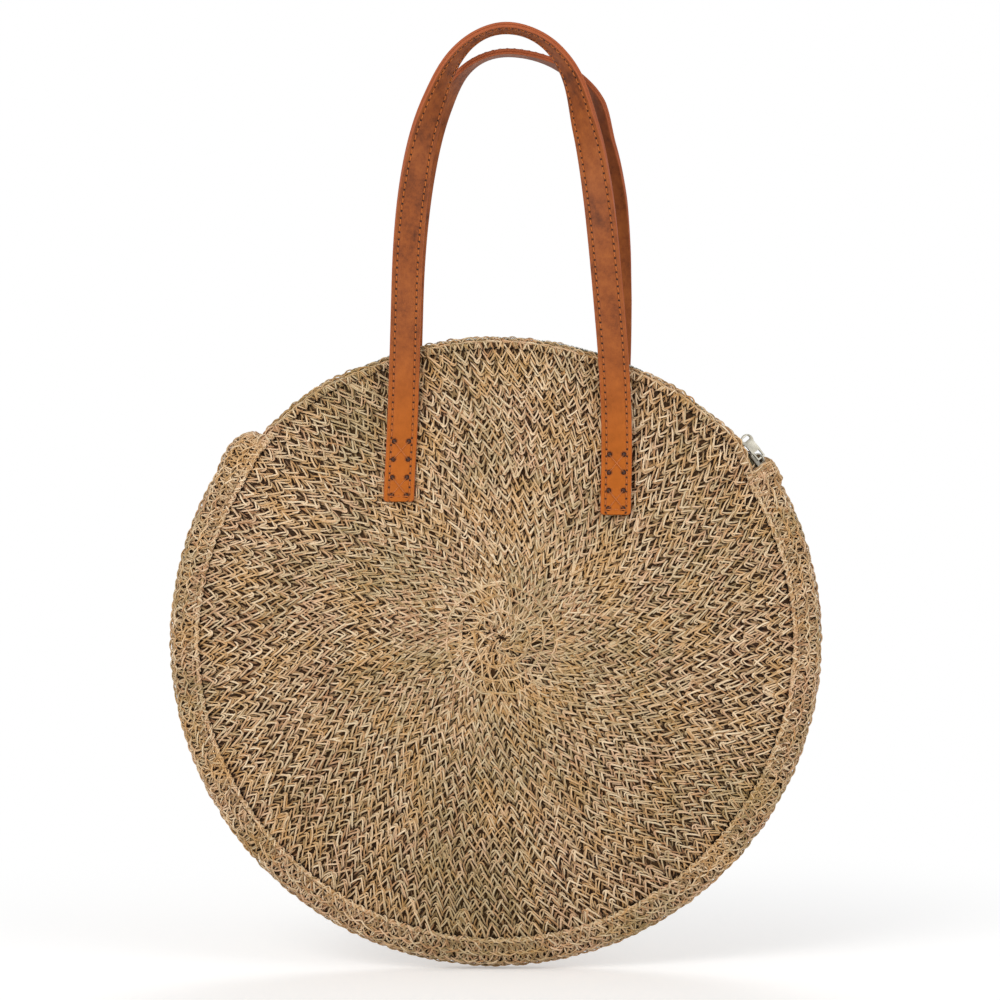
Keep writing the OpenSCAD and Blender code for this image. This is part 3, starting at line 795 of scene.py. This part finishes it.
# how far the legs lean aside at heights above the fold line, and how full the arches' shoulders are
leanLook = {
    "left": ((-45, 0, 30, 67, 140, 190, 250), (1.5, 3.8, 4.7, 4.9, 2.0, 0.0, 0.0)),
    "right": ((-53, -20, 0, 43, 79, 110, 150, 190, 250), (-1.2, -0.3, 0.0, -1.8, -3.6, -4.0, -3.0, -1.0, 0.0)),
    "back": ((0, 40, 80, 108, 141, 172, 200, 250), (0, 3.0, 7.0, 9.2, 11.2, 12.0, 11.5, 5.0)),
    "frontShoulders": (1.6, 3.4, 184), "backShoulders": (1.6, 7.0, 172),
}
leatherLook = {
    "deep": srgb(92, 48, 26), "tan": srgb(140, 74, 34), "bright": srgb(168, 94, 42), "end": srgb(192, 100, 2),
    "edge": srgb(172, 90, 52), "hole": srgb(40, 16, 6), "rough": 0.5, "specular": 0.2,
}


# The face of a strap. Its along and across values are in millimetres.
def makeLeather(name, stitched):
    look = leatherLook
    inputs = {"Roughness": look["rough"], "Specular IOR Level": look["specular"]}
    material, tree, shader = newMaterial(name, inputs)
    skin = useGroup(tree, hide, {})
    along, across, nearEnds = (attribute(tree, key) for key in ("along", "across", "nearEnds"))
    base = ramp(skin["Mottle"], [(0.1, look["deep"]), (0.45, look["tan"]), (0.9, look["bright"])])
    far = maths("ABSOLUTE", across)
    # the rounded edges are lighter and pinker: the cut edge's own colour together with a painted highlight
    # along the rounding
    rim = mask(maths("DIVIDE", far, strapLook["width"] / 2), 0.93, 0.985)
    # the strap turns lighter and more orange towards its sewn ends
    layers = [(nearEnds, 0.7, "end"), (rim, 0.85, "edge")]
    height = skin["Height"]
    if stitched:
        # a line pressed in beside each edge, with a hole between every two stitches; the line is darkened, the
        # crease's own darker tone together with painted shade in the groove, and each hole is painted near
        # black, painted shade in it
        line = sub(far, strapLook["width"] / 2 - strapLook["stitchIn"])
        pitch = strapLook["stitchPitch"]
        beat = mul(sub(maths("FRACT", maths("DIVIDE", along, pitch)), 0.5), pitch)
        off = maths("SQRT", weighted(line, line, beat, beat))
        face = attribute(tree, "face")
        stitchHoleShade = mul(mask(off, 0.5, 0.9, white, black), face)
        press = mul(mask(maths("ABSOLUTE", line), 0.3, 1.0, white, black), face)
        layers += [(press, 0.35, "deep"), (stitchHoleShade, 0.95, "hole")]
        height = sub(height, mul(stitchHoleShade, 2.0))
    for amount, share, key in layers:
        base = mixColours(mul(amount, share), base, look[key])
    dress(shader, base, height, 0.3, 0.0002)
    setInputs(shader, {"Roughness": add(mul(skin["Mottle"], -0.12), look["rough"] + 0.08)})
    return material


def makeThreadMaterial(name, dark, light, rough):
    material, tree, shader = newMaterial(name, {"Roughness": rough})
    ply = maths("SINE", mul(weighted(attribute(tree, "along"), 1.1, attribute(tree, "around"), 2.0), fullTurn))
    # the ply's turns alternate dark and light in step with its relief: painted shade in the grooves between
    # plies
    tone = ramp(add(mul(ply, 0.3), 0.5), [(0.1, dark), (0.8, light)])
    # painted shade: darker where the thread goes down a hole
    dress(shader, mixColours(attribute(tree, "holeDiveShade"), tone, srgb(34, 13, 5)), ply, 0.5, 0.0001)
    return material


leatherFace = makeLeather("tanLeather", True)
leatherBack = makeLeather("backingLeather", False)
edgeThread = makeThreadMaterial("edgeThread", srgb(146, 66, 10), srgb(208, 116, 34), 0.5)
anchorThread = makeThreadMaterial("waxedThread", srgb(140, 66, 12), srgb(206, 116, 36), 0.45)
# near-black fills in the holes, painted shade
holeShadeMaterial = makeThreadMaterial("holeShadeFill", srgb(26, 10, 4), srgb(74, 32, 14), 0.6)


def leanShift(leg, up):
    places, shifts = leanLook["left" if leg < 0 else "right"]
    smear = np.arange(-18, 19, 3)
    return sum(np.interp(up + d, places, shifts) for d in smear) / len(smear)


# The directions up a plane that leans in by an angle, and out of it
def leaning(side, angle):
    c, s = math.cos(angle), math.sin(angle)
    return np.array([0, c, -side * s]), np.array([0, side * s, c])


# A handle as a row of stations from its left sewn end over the arch to the right one:
# middle of the strap, direction across it and out of its viewer side, and the distance along
def handlePath(side):
    look = strapLook
    foot = np.array([look["aside"], look["foldUp"], side * look["faceH"]])
    right = np.array([1.0, 0, 0])
    rise = look["archH"] - (look["archStep"] if side < 0 else 0)
    inward = look["faceH"] - strapT / 2 - look["width"] / 2 - look["gap"] / 2
    upright, forward = leaning(side, math.asin(inward / rise))
    angle = np.radians(np.linspace(180, 0, 1201))
    c, s = np.cos(angle), np.sin(angle)
    x = look["legHalf"] * np.sign(c) * np.abs(c) ** (2 / look["spanPower"])
    up = look["foldGap"] + (rise - look["foldGap"]) * np.abs(s) ** (2 / look["risePower"])
    run = unit(np.stack([np.gradient(x), np.gradient(up)], -1))
    run[0], run[-1] = (0, 1), (0, -1)
    out = np.stack([-run[:, 1], run[:, 0]], -1)
    degrees = np.degrees(angle)
    gone = np.minimum(degrees, 180 - degrees) - look["twistFrom"]
    turn = np.radians(look["twist"]) * smooth(gone / (look["twistTo"] - look["twistFrom"]))[:, None]
    flat = out[:, :1] * right + out[:, 1:] * upright
    across = flat * np.cos(turn) + forward * np.sin(turn)
    normal = -flat * np.sin(turn) + forward * np.cos(turn)
    x = x + np.where(x < 0, leanShift(-1, up), leanShift(1, up))
    onLeft, onRight, start = leanLook[sideName(side) + "Shoulders"]
    fuller = np.where(x < 0, -onLeft * smooth((up - 200) / 28), onRight * smooth((up - start) / 40))
    x = x + fuller * smooth(np.abs(x) / 28)
    if side < 0:
        x = x + np.interp(up, *leanLook["back"]) * smooth((x + 20) / 70)
    middle = foot + x[:, None] * right + up[:, None] * upright - side * strapT / 2 * forward
    distance = np.concatenate([[0], np.cumsum(np.linalg.norm(np.diff(middle, axis=0), axis=1))])
    # the sewn ends lie on the panel
    upEnd, outEnd = leaning(side, math.radians(look["sewnLean"]))
    ends = []
    for leg, length in ((-1, look["leftEnd"]), (1, look["rightEnd"])):
        tip = length - np.array([0, 0.15, 0.4, 0.8, 1.3, 2.0, 3.0])
        down = np.concatenate([tip, np.arange(length - 4.0, 1.0, -look["step"])])
        top = foot + leg * look["legHalf"] * right
        mid = top - down[:, None] * upEnd - side * strapT / 2 * outEnd
        mid[:, 0] += leanShift(leg, -down)
        ends.append((down, mid, *(np.tile(v, (len(down), 1)) for v in (leg * right, outEnd))))
    total = distance[-1]
    stations = np.arange(1.2, total - 1.0, look["step"])
    arch = [np.stack([np.interp(stations, distance, v[:, i]) for i in range(3)], -1)
            for v in (middle, across, normal)]
    first, last = ends[0], [v[::-1] for v in ends[1]]
    joined = [np.concatenate(parts) for parts in zip(first[1:], arch, last[1:])]
    path = {"middle": joined[0], "across": unit(joined[1]), "normal": unit(joined[2])}
    path["along"] = np.concatenate([-first[0], stations, total + last[0]])
    path["total"] = total
    fromEnd = np.minimum(path["along"] + look["leftEnd"], total + look["rightEnd"] - path["along"])
    radius = look["corner"]
    cut = np.clip(radius - fromEnd, 0, radius)
    path["half"] = look["width"] / 2 - radius + np.sqrt(np.maximum(radius ** 2 - cut ** 2, 0))
    path["fromEnd"] = fromEnd
    return path


# Sweeps a layer between two heights of the strap; faceUp is +1 where its finished face looks to the viewer
def strapLayer(name, side, path, heights, faceUp, material):
    look = strapLook
    low, high = sorted(heights)
    half = look["width"] / 2
    groove = half - look["stitchIn"]
    beside = [-(groove + offset) / half for offset in (0.9, 0.35, 0.0, -0.35, -0.9)]
    xs = np.array([-1.0, -0.985, -0.955, -0.91, *beside, -0.4, -0.2, 0.0])
    xs = np.concatenate([xs, -xs[-2::-1]])
    edge = np.abs(xs) * half

    def rounded(radius):
        return radius - np.sqrt(np.maximum(radius ** 2 - np.clip(edge - (half - radius), 0, radius) ** 2, 0))

    dip = look["grooveDip"] * np.exp(-((edge - groove) / look["grooveWide"]) ** 2)
    crown = look["crown"] * (1 - (edge / half) ** 2)
    outer = -rounded(look["edgeR"]) * 0.9 + crown * 0.6 - (dip if material is leatherFace else 0)
    soft = rounded(look["innerEdgeR"])
    top, under = (high + outer, low + soft) if faceUp > 0 else (high - soft, low - outer)
    ringX, ringH = np.concatenate([xs, xs[::-1]]), np.concatenate([top, under[::-1]])
    n, m = len(path["along"]), len(ringX)
    rng = np.random.default_rng(5 if side > 0 else 6)
    wobble = np.convolve(rng.normal(0, 1, n + 40), np.hanning(41) / 20, "valid") * look["wobble"]
    width = ringX[None] * (path["half"][:, None] + 0.12 * wobble[:, None])
    points = (path["middle"][:, None] + path["across"][:, None] * width[..., None]
              + path["normal"][:, None] * ringH[:, None])
    # the bend at each fold line is eased
    for fold in (0, path["total"]):
        rows = np.where(np.abs(path["along"] - fold) < look["easedOver"])[0]
        for _ in range(look["easings"]):
            points[rows] = 0.25 * points[rows - 1] + 0.5 * points[rows] + 0.25 * points[rows + 1]
    values = {
        "along": np.repeat(path["along"], m), "across": np.tile(ringX * look["width"] / 2, n),
        "face": np.tile(np.repeat([float(faceUp > 0), float(faceUp < 0)], len(xs)), n),
        "nearEnds": np.repeat(smooth(1 - (path["fromEnd"] - 15) / 110), m),
    }
    return makeMesh(name, toRow(points.reshape(-1, 3)), sweptFaces(n, m), material, values)


def holePlaces(leg):
    look = strapLook
    length = look["leftEnd"] if leg < 0 else look["rightEnd"]
    return [(x * look["holeAcross"] / 2, look["holeFoot"] + row * look["holeRow"] - length)
            for row in range(4) for x in (-1, 1)]


# A point on a sewn end: x across, y up from the fold line, z out of its outer face
def onLeg(side, leg, points):
    look = strapLook
    tilt = math.radians(look["sewnLean"])
    p = np.asarray(points, float)
    y = p[..., 1] * math.cos(tilt) + p[..., 2] * math.sin(tilt)
    z = -p[..., 1] * math.sin(tilt) + p[..., 2] * math.cos(tilt)
    x = look["aside"] + leg * look["legHalf"] + p[..., 0] + leanShift(leg, p[..., 1])
    return np.stack([x, look["foldUp"] + y, side * (look["faceH"] + z)], -1)


# Turns a piece's modifiers into its mesh
def applyModifiers(piece):
    made = bpy.data.meshes.new_from_object(piece.evaluated_get(bpy.context.evaluated_depsgraph_get()))
    piece.modifiers.clear()
    old, piece.data = piece.data, made
    bpy.data.meshes.remove(old)
    return made


# Cuts the eight sewing holes of both ends through a layer
def punchHoles(piece, side):
    look = strapLook
    sections, rings, faces = 16, [], []
    turn = fullTurn * np.arange(sections) / sections
    for leg in (-1, 1):
        for x, y in holePlaces(leg):
            low = len(rings) * sections
            top = low + sections
            circle = [x + look["holeR"] * np.cos(turn), y + look["holeR"] * np.sin(turn)]
            for z in (-6.0, 3.0):
                rings.append(toRow(onLeg(side, leg, np.column_stack([*circle, np.full(sections, z)]))))
            beside = zip(range(sections), [*range(1, sections), 0])
            faces += [[low + i, low + j, top + j, top + i] for i, j in beside]
            faces += [[low + i for i in reversed(range(sections))], [top + i for i in range(sections)]]
    if side < 0:
        faces = [f[::-1] for f in faces]
    cutter = bpy.data.meshes.new("holeCutter")
    cutter.from_pydata([tuple(v) for v in np.concatenate(rings)], [], faces)
    tool = bpy.data.objects.new("holeCutter", cutter)
    bpy.context.collection.objects.link(tool)
    cut = piece.modifiers.new("holes", "BOOLEAN")
    cut.operation, cut.object, cut.solver = "DIFFERENCE", tool, "EXACT"
    made = applyModifiers(piece)
    bpy.data.objects.remove(tool)
    bpy.data.meshes.remove(cutter)
    for polygon in made.polygons:
        polygon.use_smooth = True


# Bakes a strap piece's placement into its mesh
def bendStrap(piece):
    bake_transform(piece)


def makeHandle(side, name):
    look = strapLook
    word = sideName(side)
    path = handlePath(side)
    joint, face = side * (strapT / 2 - look["outerT"]), side * strapT / 2
    outer = strapLayer(name + "Outer", side, path, (joint, face), side, leatherFace)
    backing = strapLayer(name + "Backing", side, path, (joint - side * 0.05, -face), -side, leatherBack)
    for piece in (outer, backing):
        punchHoles(piece, side)
        bendStrap(piece)
    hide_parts(word + "_handle_strap", word + "_left_strap_end", word + "_right_strap_end")
    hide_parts(word + "_handle_backing", word + "_end_backings")
    # edge stitches, and the row across each end
    rng = np.random.default_rng(41 if side > 0 else 42)
    pitch, half = look["stitchPitch"], look["width"] / 2 - look["stitchIn"]
    low, top = look["stitchIn"] - look["leftEnd"], path["total"] + look["rightEnd"] - look["stitchIn"]
    middle = (math.ceil(low / pitch) + np.arange(int((top - low) / pitch))) * pitch
    middle = middle[(middle > low) & (middle < top)][:, None]
    t = np.linspace(-0.5, 0.5, 6)
    spots = []
    for lane in (-half, half):
        across = lane + rng.normal(0, 0.06, (len(middle), 1)) + 0.25 * t
        spots.append(np.stack([middle + look["stitchL"] * t, across], -1))
    for end in (low, top):
        lanes = np.arange(-half + pitch / 2, half, pitch)[:, None] + look["stitchL"] * t
        spots.append(np.stack([np.full(lanes.shape, end), lanes], -1))
    spots = np.concatenate(spots)

    def sample(key):
        return np.stack([np.interp(spots[..., 0], path["along"], path[key][:, i]) for i in range(3)], -1)

    normal = unit(sample("normal"))
    above = side * (strapT / 2 - look["stitchSunk"] + look["stitchRise"] - look["stitchDive"] * t ** 2)
    points = sample("middle") + unit(sample("across")) * spots[..., 1:] + normal * above[:, None]
    radii = np.full(spots.shape[:2], look["stitchR"])
    points, faces, along, around = tubes(points, side * normal, radii, 6, 0.85)
    stitches = makeMesh(name + "Stitches", toRow(points), faces, edgeThread, {"along": along, "around": around})
    bendStrap(stitches)
    makeAnchors(side, name)


# Heights are from the strap's outer face
anchorLook = {
    "radius": 0.4, "sides": 8, "sunkAtFace": 0.15, "foot": -strapT - 0.6, "neck": -1.7,
    # holes joined by each thread of a cross, and how far it rises between them
    "cross": ((0, 3, 0.25), (1, 2, 0.6)),
    "darkEnd": [1.0, 1.0, 0.95, 0.4], "holeFillSides": 12,
    # height and radius along each dark fill in a hole, painted shade
    "holeFill": ((-strapT - 0.4, 1.35), (-2.4, 1.35), (-1.2, 1.35), (-0.35, 1.3), (-0.12, 0.85)),
}


# Thick thread through the holes, two crosses to an end, over dark fills in the holes that are painted shade
def makeAnchors(side, name):
    look = anchorLook
    outEnd = leaning(side, math.radians(strapLook["sewnLean"]))[1]
    outward = side * outEnd + np.array([0.3, 0.1, 0.0])
    t = np.linspace(0, 1, 10)
    paths = []
    for leg in (-1, 1):
        holes = np.array(holePlaces(leg))
        for block in (0, 4):
            for a, b, rise in look["cross"]:
                start, stop = holes[block + a], holes[block + b]
                height = rise * np.sin(np.pi * t) ** 0.5 - look["sunkAtFace"]
                over = np.column_stack([start + (stop - start) * t[:, None], height])
                down, up = ([[*hole, look["foot"]], [*hole, look["neck"]]] for hole in (start, stop))
                paths.append(onLeg(side, leg, np.concatenate([down, over, up[::-1]])))
    paths = np.array(paths)
    radii = np.full(paths.shape[:2], look["radius"])
    points, faces, along, around = tubes(paths, np.broadcast_to(outward, paths.shape), radii, look["sides"])
    # painted shade on the ends that go down the holes
    end = look["darkEnd"]
    holeDiveShade = np.tile(np.repeat(end + [0.0] * 6 + end[::-1], look["sides"]), len(paths))
    makePiece(name + "AnchorThreads", points, faces, anchorThread,
              {"along": along, "around": around, "holeDiveShade": holeDiveShade}, sideName(side) + "_anchor_threads")
    heights, radii = np.array(look["holeFill"]).T
    holeFills = np.array([onLeg(side, leg, [(*hole, height) for height in heights])
                      for leg in (-1, 1) for hole in holePlaces(leg)])
    radii = np.tile(radii, (len(holeFills), 1))
    right = np.broadcast_to([1.0, 0.0, 0.0], holeFills.shape)
    points, faces, along, around = tubes(holeFills, right, radii, look["holeFillSides"])
    values = {"along": along, "around": around}
    makePiece(name + "HoleShadeFills", points, faces, holeShadeMaterial, values)


makeHandle(1, "frontHandle")
makeHandle(-1, "backHandle")
print("handles made")


# Zip, on an arc round a centre of its own, from one angle to another in degrees
zipLook = {
    "centreX": 1.5, "centreY": -17.5, "radius": 202.0, "tilt": 12.0, "from": 36.0, "to": 134.25, "tapeT": 0.5,
    "across": (1.6, 1.9, 2.6, 3.3, 4.2, 5.2, 6.2, 7.2, 8.2, 9.2, 10.1, 10.7, 11.1, 12.0, 12.8), "sewnAt": 11.1,
    "flatTo": 3.2, "slope": 7.5, "belowRim": 0.9, "ripple": 0.3,
    "cloth": (srgb(54, 46, 28), srgb(104, 94, 66), srgb(146, 134, 98)), "thread": 0.55,
}


# A point beside the zip: its angle in degrees, out along the zip's own upright, across towards the viewer
def onZip(angle, out, across):
    look = zipLook
    tilt = math.radians(look["tilt"])
    r = look["radius"] + out * math.cos(tilt) - across * math.sin(tilt)
    z = out * math.sin(tilt) + across * math.cos(tilt)
    return polar(r, np.radians(angle), z) + np.array([look["centreX"], look["centreY"], 0.0])


# Woven cloth: along and across are in millimetres
def makeCloth(name, dark, middle, light, thread):
    material, tree, shader = newMaterial(name, {"Roughness": 0.85})
    inputs = {"Along": attribute(tree, "along"), "Across": attribute(tree, "across"), "Thread": thread}
    cloth = useGroup(tree, weave, inputs)
    spots = useGroup(tree, patches, {"Scale": 30.0, "Fine": 260.0, "Contrast": 1.8})
    tone = weighted(cloth["Shade"], 0.5, spots["Slow"], 0.5)
    dress(shader, ramp(tone, [(0.15, dark), (0.5, middle), (0.9, light)]), cloth["Height"], 0.7, 0.00012)
    return material


tapeCloth = makeCloth("tapeCloth", *zipLook["cloth"], zipLook["thread"])
liningCloth = makeCloth("liningCloth", srgb(52, 46, 32), srgb(88, 80, 58), srgb(120, 110, 82), 0.7)


# A closed sheet of cloth, half its thickness on each side of a grid of points
def makeSheet(name, points, normals, thick, material, values, node):
    rings = np.concatenate([points + normals * thick / 2, (points - normals * thick / 2)[:, ::-1]], axis=1)
    values = {key: np.concatenate([v, v[:, ::-1]], axis=1).ravel() for key, v in values.items()}
    makePiece(name, rings, sweptFaces(*rings.shape[:2])[:, ::-1], material, values, node)


def makeTape(side, name):
    look = zipLook
    angle = np.linspace(look["from"], look["to"], 321)
    across = side * np.array(look["across"])
    rng = np.random.default_rng(61 + side)
    ripple = np.convolve(rng.normal(0, 1, len(angle) + 20), np.hanning(21) / 10, "valid") * look["ripple"]
    # from the teeth the cloth slopes to where it is sewn, behind the chain of the rim
    flat = onZip(angle, 0.0, side * look["sewnAt"])
    target = sideR(side) - look["belowRim"] + ripple + rimBulge(np.arctan2(flat[:, 1], flat[:, 0]))
    share = smooth((np.abs(across) - look["flatTo"]) / look["slope"])
    short = target - np.hypot(flat[:, 0], flat[:, 1])
    out = short[:, None] / math.cos(math.radians(look["tilt"])) * share
    points = onZip(angle[:, None], out, across)
    normals = unit(np.cross(np.gradient(points, axis=0), np.gradient(points, axis=1) * side))
    along = np.radians(angle) * look["radius"]
    values = dict(zip(("along", "across"), np.broadcast_arrays(along[:, None], across)))
    makeSheet(name, points, normals, look["tapeT"], tapeCloth, values, "zip_tape_" + sideName(side))


makeTape(1, "frontZipTape")
makeTape(-1, "backZipTape")
print("zip tapes made")


# Linings, cloth just inside the crochet
def makePanelLining(side, name):
    top = bag["crochetT"] + 0.1
    rng = np.random.default_rng(71 + side)
    sagWaves = [(m, n, rng.uniform(0, 6)) for m, n in ((3, 2), (5, 3), (8, 4))]
    points, faces, r, a = discSheet(side, 2.6, 144, (-top - 0.3, -top - bag["liningT"] - 0.3), sagWaves)
    both = np.concatenate([r, r[::-1]]), np.concatenate([a, a])
    values = {"along": both[0] * np.cos(both[1]), "across": both[0] * np.sin(both[1])}
    makePiece(name, points, faces, liningCloth, values, sideName(side) + "_lining")


def makeGussetLining():
    start, stop = math.radians(bag["gussetLeft"] + 3.0), math.radians(359.0 + bag["gussetRight"])
    outside = bag["noseR"] - bag["crochetT"] - 0.1
    radius = outside - bag["liningT"] / 2 - 0.2
    a, b = np.meshgrid(np.linspace(start, stop, 201), np.linspace(0.06, np.pi - 0.06, 25), indexing="ij")
    points = polar(bag["noseAt"] + radius * np.sin(b), a, radius * np.cos(b))
    makeSheet("gussetLiningCloth", points, polar(np.sin(b), a, np.cos(b)), bag["liningT"], liningCloth,
              {"along": a * bag["noseAt"], "across": b * outside}, "gusset_lining")


makePanelLining(1, "frontLiningCloth")
makePanelLining(-1, "backLiningCloth")
makeGussetLining()
print("linings made")


# Slider, tab, teeth and stops
metalLook = {
    "nickel": srgb(158, 154, 143), "worn": srgb(134, 129, 116), "grime": srgb(84, 76, 60), "rough": 0.3,
    "resin": srgb(84, 78, 54), "resinLight": srgb(122, 114, 84), "resinRough": 0.42,
    "weld": 1e-6, "roundFrom": 35, "roundSteps": 3, "sharpFrom": 30,  # angles in degrees
}


def makeNickel():
    look = metalLook
    material, tree, shader = newMaterial("wornNickel", {"Metallic": 1.0, "Roughness": look["rough"]})
    spot = useGroup(tree, patches, {"Scale": 150.0, "Fine": 1500.0, "Contrast": 1.1})
    scratch = noise(scaled(objectPlace(tree), (3000.0, 3000.0, 260.0)), 1.0, 3.0, 0.6)
    base = ramp(weighted(spot["Slow"], 0.8, scratch, 0.2),
                [(0.1, look["grime"]), (0.34, look["worn"]), (0.6, look["nickel"])])
    dress(shader, base, add(mul(scratch, 0.5), spot["Slow"]), 0.12, 0.0001)
    setInputs(shader, {"Roughness": add(weighted(spot["Fast"], 0.14, scratch, 0.3), 0.06)})
    return material


def makeResin():
    look = metalLook
    material, tree, shader = newMaterial("zipResin", {"Roughness": look["resinRough"]})
    spot = useGroup(tree, patches, {"Scale": 150.0, "Fine": 1500.0, "Contrast": 1.6})
    base = ramp(spot["Slow"], [(0.2, look["resin"]), (0.8, look["resinLight"])])
    dress(shader, base, spot["Fast"], 0.3, 0.0001)
    return material


nickel = makeNickel()
resin = makeResin()


# A copy of a frame part in nickel, with its hard edges rounded
def roundedCopy(node, body, name, radius, turn=None):
    look = metalLook
    piece = bpy.data.objects.new(name, frame["nodes"][node].data.copy())
    bpy.context.collection.objects.link(piece)
    weld = piece.modifiers.new("weld", "WELD")
    weld.merge_threshold = look["weld"]
    soft = piece.modifiers.new("soft", "BEVEL")
    soft.width, soft.segments = radius, look["roundSteps"]
    soft.limit_method, soft.angle_limit = "ANGLE", math.radians(look["roundFrom"])
    soft.use_clamp_overlap = True
    made = applyModifiers(piece)
    made.materials.clear()
    made.materials.append(nickel)
    for polygon in made.polygons:
        polygon.material_index = 0
        polygon.use_smooth = True
    made.set_sharp_from_angle(angle=math.radians(look["sharpFrom"]))
    if turn is not None:
        made.transform(turn)
    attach(piece, body)
    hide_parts(node)


tabLook = {"roll": -44.0, "drop": 6.0, "lift": 0.8, "atAngle": 38.794, "out": 4.45}


# The loose tab leans over on its bail, towards the front
def tabLean():
    look = tabLook
    base, ahead, above = (toRow(onZip(look["atAngle"] + angle, look["out"] + out, 0.0))
                          for angle, out in ((0, 0), (0.5, 0), (0, 1.0)))
    middle = Matrix.Translation(Vector(base))
    lean = Matrix.Rotation(math.radians(look["roll"]), 4, Vector(ahead - base).normalized())
    rise = Matrix.Translation(Vector(above - base).normalized() * look["lift"] / 1000)
    hinge = next(j for j in frame["joints"] if j["name"] == "pull_tab_swing")
    drop = Matrix.Rotation(math.radians(-look["drop"]), 4, Vector(hinge["axis"]))
    return rise @ middle @ lean @ drop @ middle.inverted()


roundedCopy("slider_body", "zip_slider", "sliderBody", 0.00035)
roundedCopy("pull_tab", "pull_tab", "pullTab", 0.0003, tabLean())
for material, nodes in ((nickel, ("slider_bail", "top_stops", "bottom_stop")),
                        (resin, ("zip_teeth_front", "zip_teeth_back"))):
    for node in nodes:
        frame["nodes"][node].data.materials.clear()
        frame["nodes"][node].data.materials.append(material)
print("zip hardware made")


# Floor, light and camera. A lamp is its name, place, size, power and colour.
stageLook = {
    "floorZ": -0.5744, "floor": (0.92, 0.92, 0.92, 1), "reach": 3, "shadeLift": 0.29, "worldLight": 0.4,
    "cameraBack": 1.95, "viewWide": 0.615, "middleX": -0.004, "middleZ": -0.2865, "sensor": 36,
    "aim": (0, 0, -0.33),
    "lamps": (("keyLight", (-0.9, -1.6, 0.55), 1.0, 19.2, (1, 0.985, 0.96)),
              ("fillLight", (1.3, -1.2, 0.1), 1.2, 9, (0.99, 0.995, 1)),
              ("backLight", (0.2, 1.4, 0.9), 1.0, 9, (1, 1, 1))),
}


# Pale floor that keeps the shadow near the bag and is plain white to the camera further off
def makeFloorMaterial():
    look = stageLook
    inputs = {"Roughness": 0.9, "Base Color": look["floor"], "Specular IOR Level": 0.0}
    material, tree, shader = newMaterial("paleFloor", inputs)
    place = scaled(objectPlace(tree), (1.0, 0.8, 0.0))
    away = addNode(tree, "ShaderNodeVectorMath", {0: place}, operation="LENGTH").outputs["Value"]
    camera = tree.nodes.new("ShaderNodeLightPath").outputs["Is Camera Ray"]
    lit, glow = (addNode(tree, "ShaderNodeEmission", {"Color": white, "Strength": strength}).outputs[0]
                 for strength in (mul(camera, look["shadeLift"]), 1.0))
    own = addNode(tree, "ShaderNodeAddShader", {0: shader.outputs[0], 1: lit}).outputs[0]
    far = mul(mask(away, 0.16, 0.6, interpolation="EASE"), camera)
    blend = addNode(tree, "ShaderNodeMixShader", {0: far, 1: own, 2: glow}).outputs[0]
    setInputs(tree.nodes["Material Output"], {"Surface": blend})
    return material


def makeStage():
    look = stageLook
    scene = bpy.context.scene
    far = look["reach"]
    corners = [(x, y, look["floorZ"]) for x, y in ((-far, -far), (far, -far), (far, far), (-far, far))]
    makeMesh("floor", corners, [(0, 1, 2, 3)], makeFloorMaterial())
    # the world is white to the camera and in gloss, and lights the bag less
    world = bpy.data.worlds.new("studio")
    scene.world = world
    world.use_nodes = True
    seen = world.node_tree.nodes.new("ShaderNodeLightPath").outputs
    clear = maths("MAXIMUM", seen["Is Glossy Ray"], seen["Is Transmission Ray"])
    share = mul(maths("MAXIMUM", seen["Is Camera Ray"], clear), 1 - look["worldLight"])
    strength = add(share, look["worldLight"])
    setInputs(world.node_tree.nodes["Background"], {"Color": white, "Strength": strength})
    for name, place, size, power, tint in look["lamps"]:
        data = bpy.data.lights.new(name, "AREA")
        data.size, data.energy, data.color = size, power, tint
        lamp = bpy.data.objects.new(name, data)
        lamp.location = place
        lamp.rotation_mode = "QUATERNION"
        lamp.rotation_quaternion = (Vector(look["aim"]) - Vector(place)).to_track_quat("-Z", "Y")
        scene.collection.objects.link(lamp)
    data = bpy.data.cameras.new("camera")
    data.sensor_width = look["sensor"]
    data.lens = look["sensor"] * look["cameraBack"] / look["viewWide"]
    camera = bpy.data.objects.new("camera", data)
    camera.location = (look["middleX"], -look["cameraBack"], look["middleZ"])
    camera.rotation_euler = (math.pi / 2, 0, 0)
    scene.collection.objects.link(camera)
    scene.camera = camera
    scene.view_settings.view_transform = "Standard"


makeStage()
print("bag: stage made")
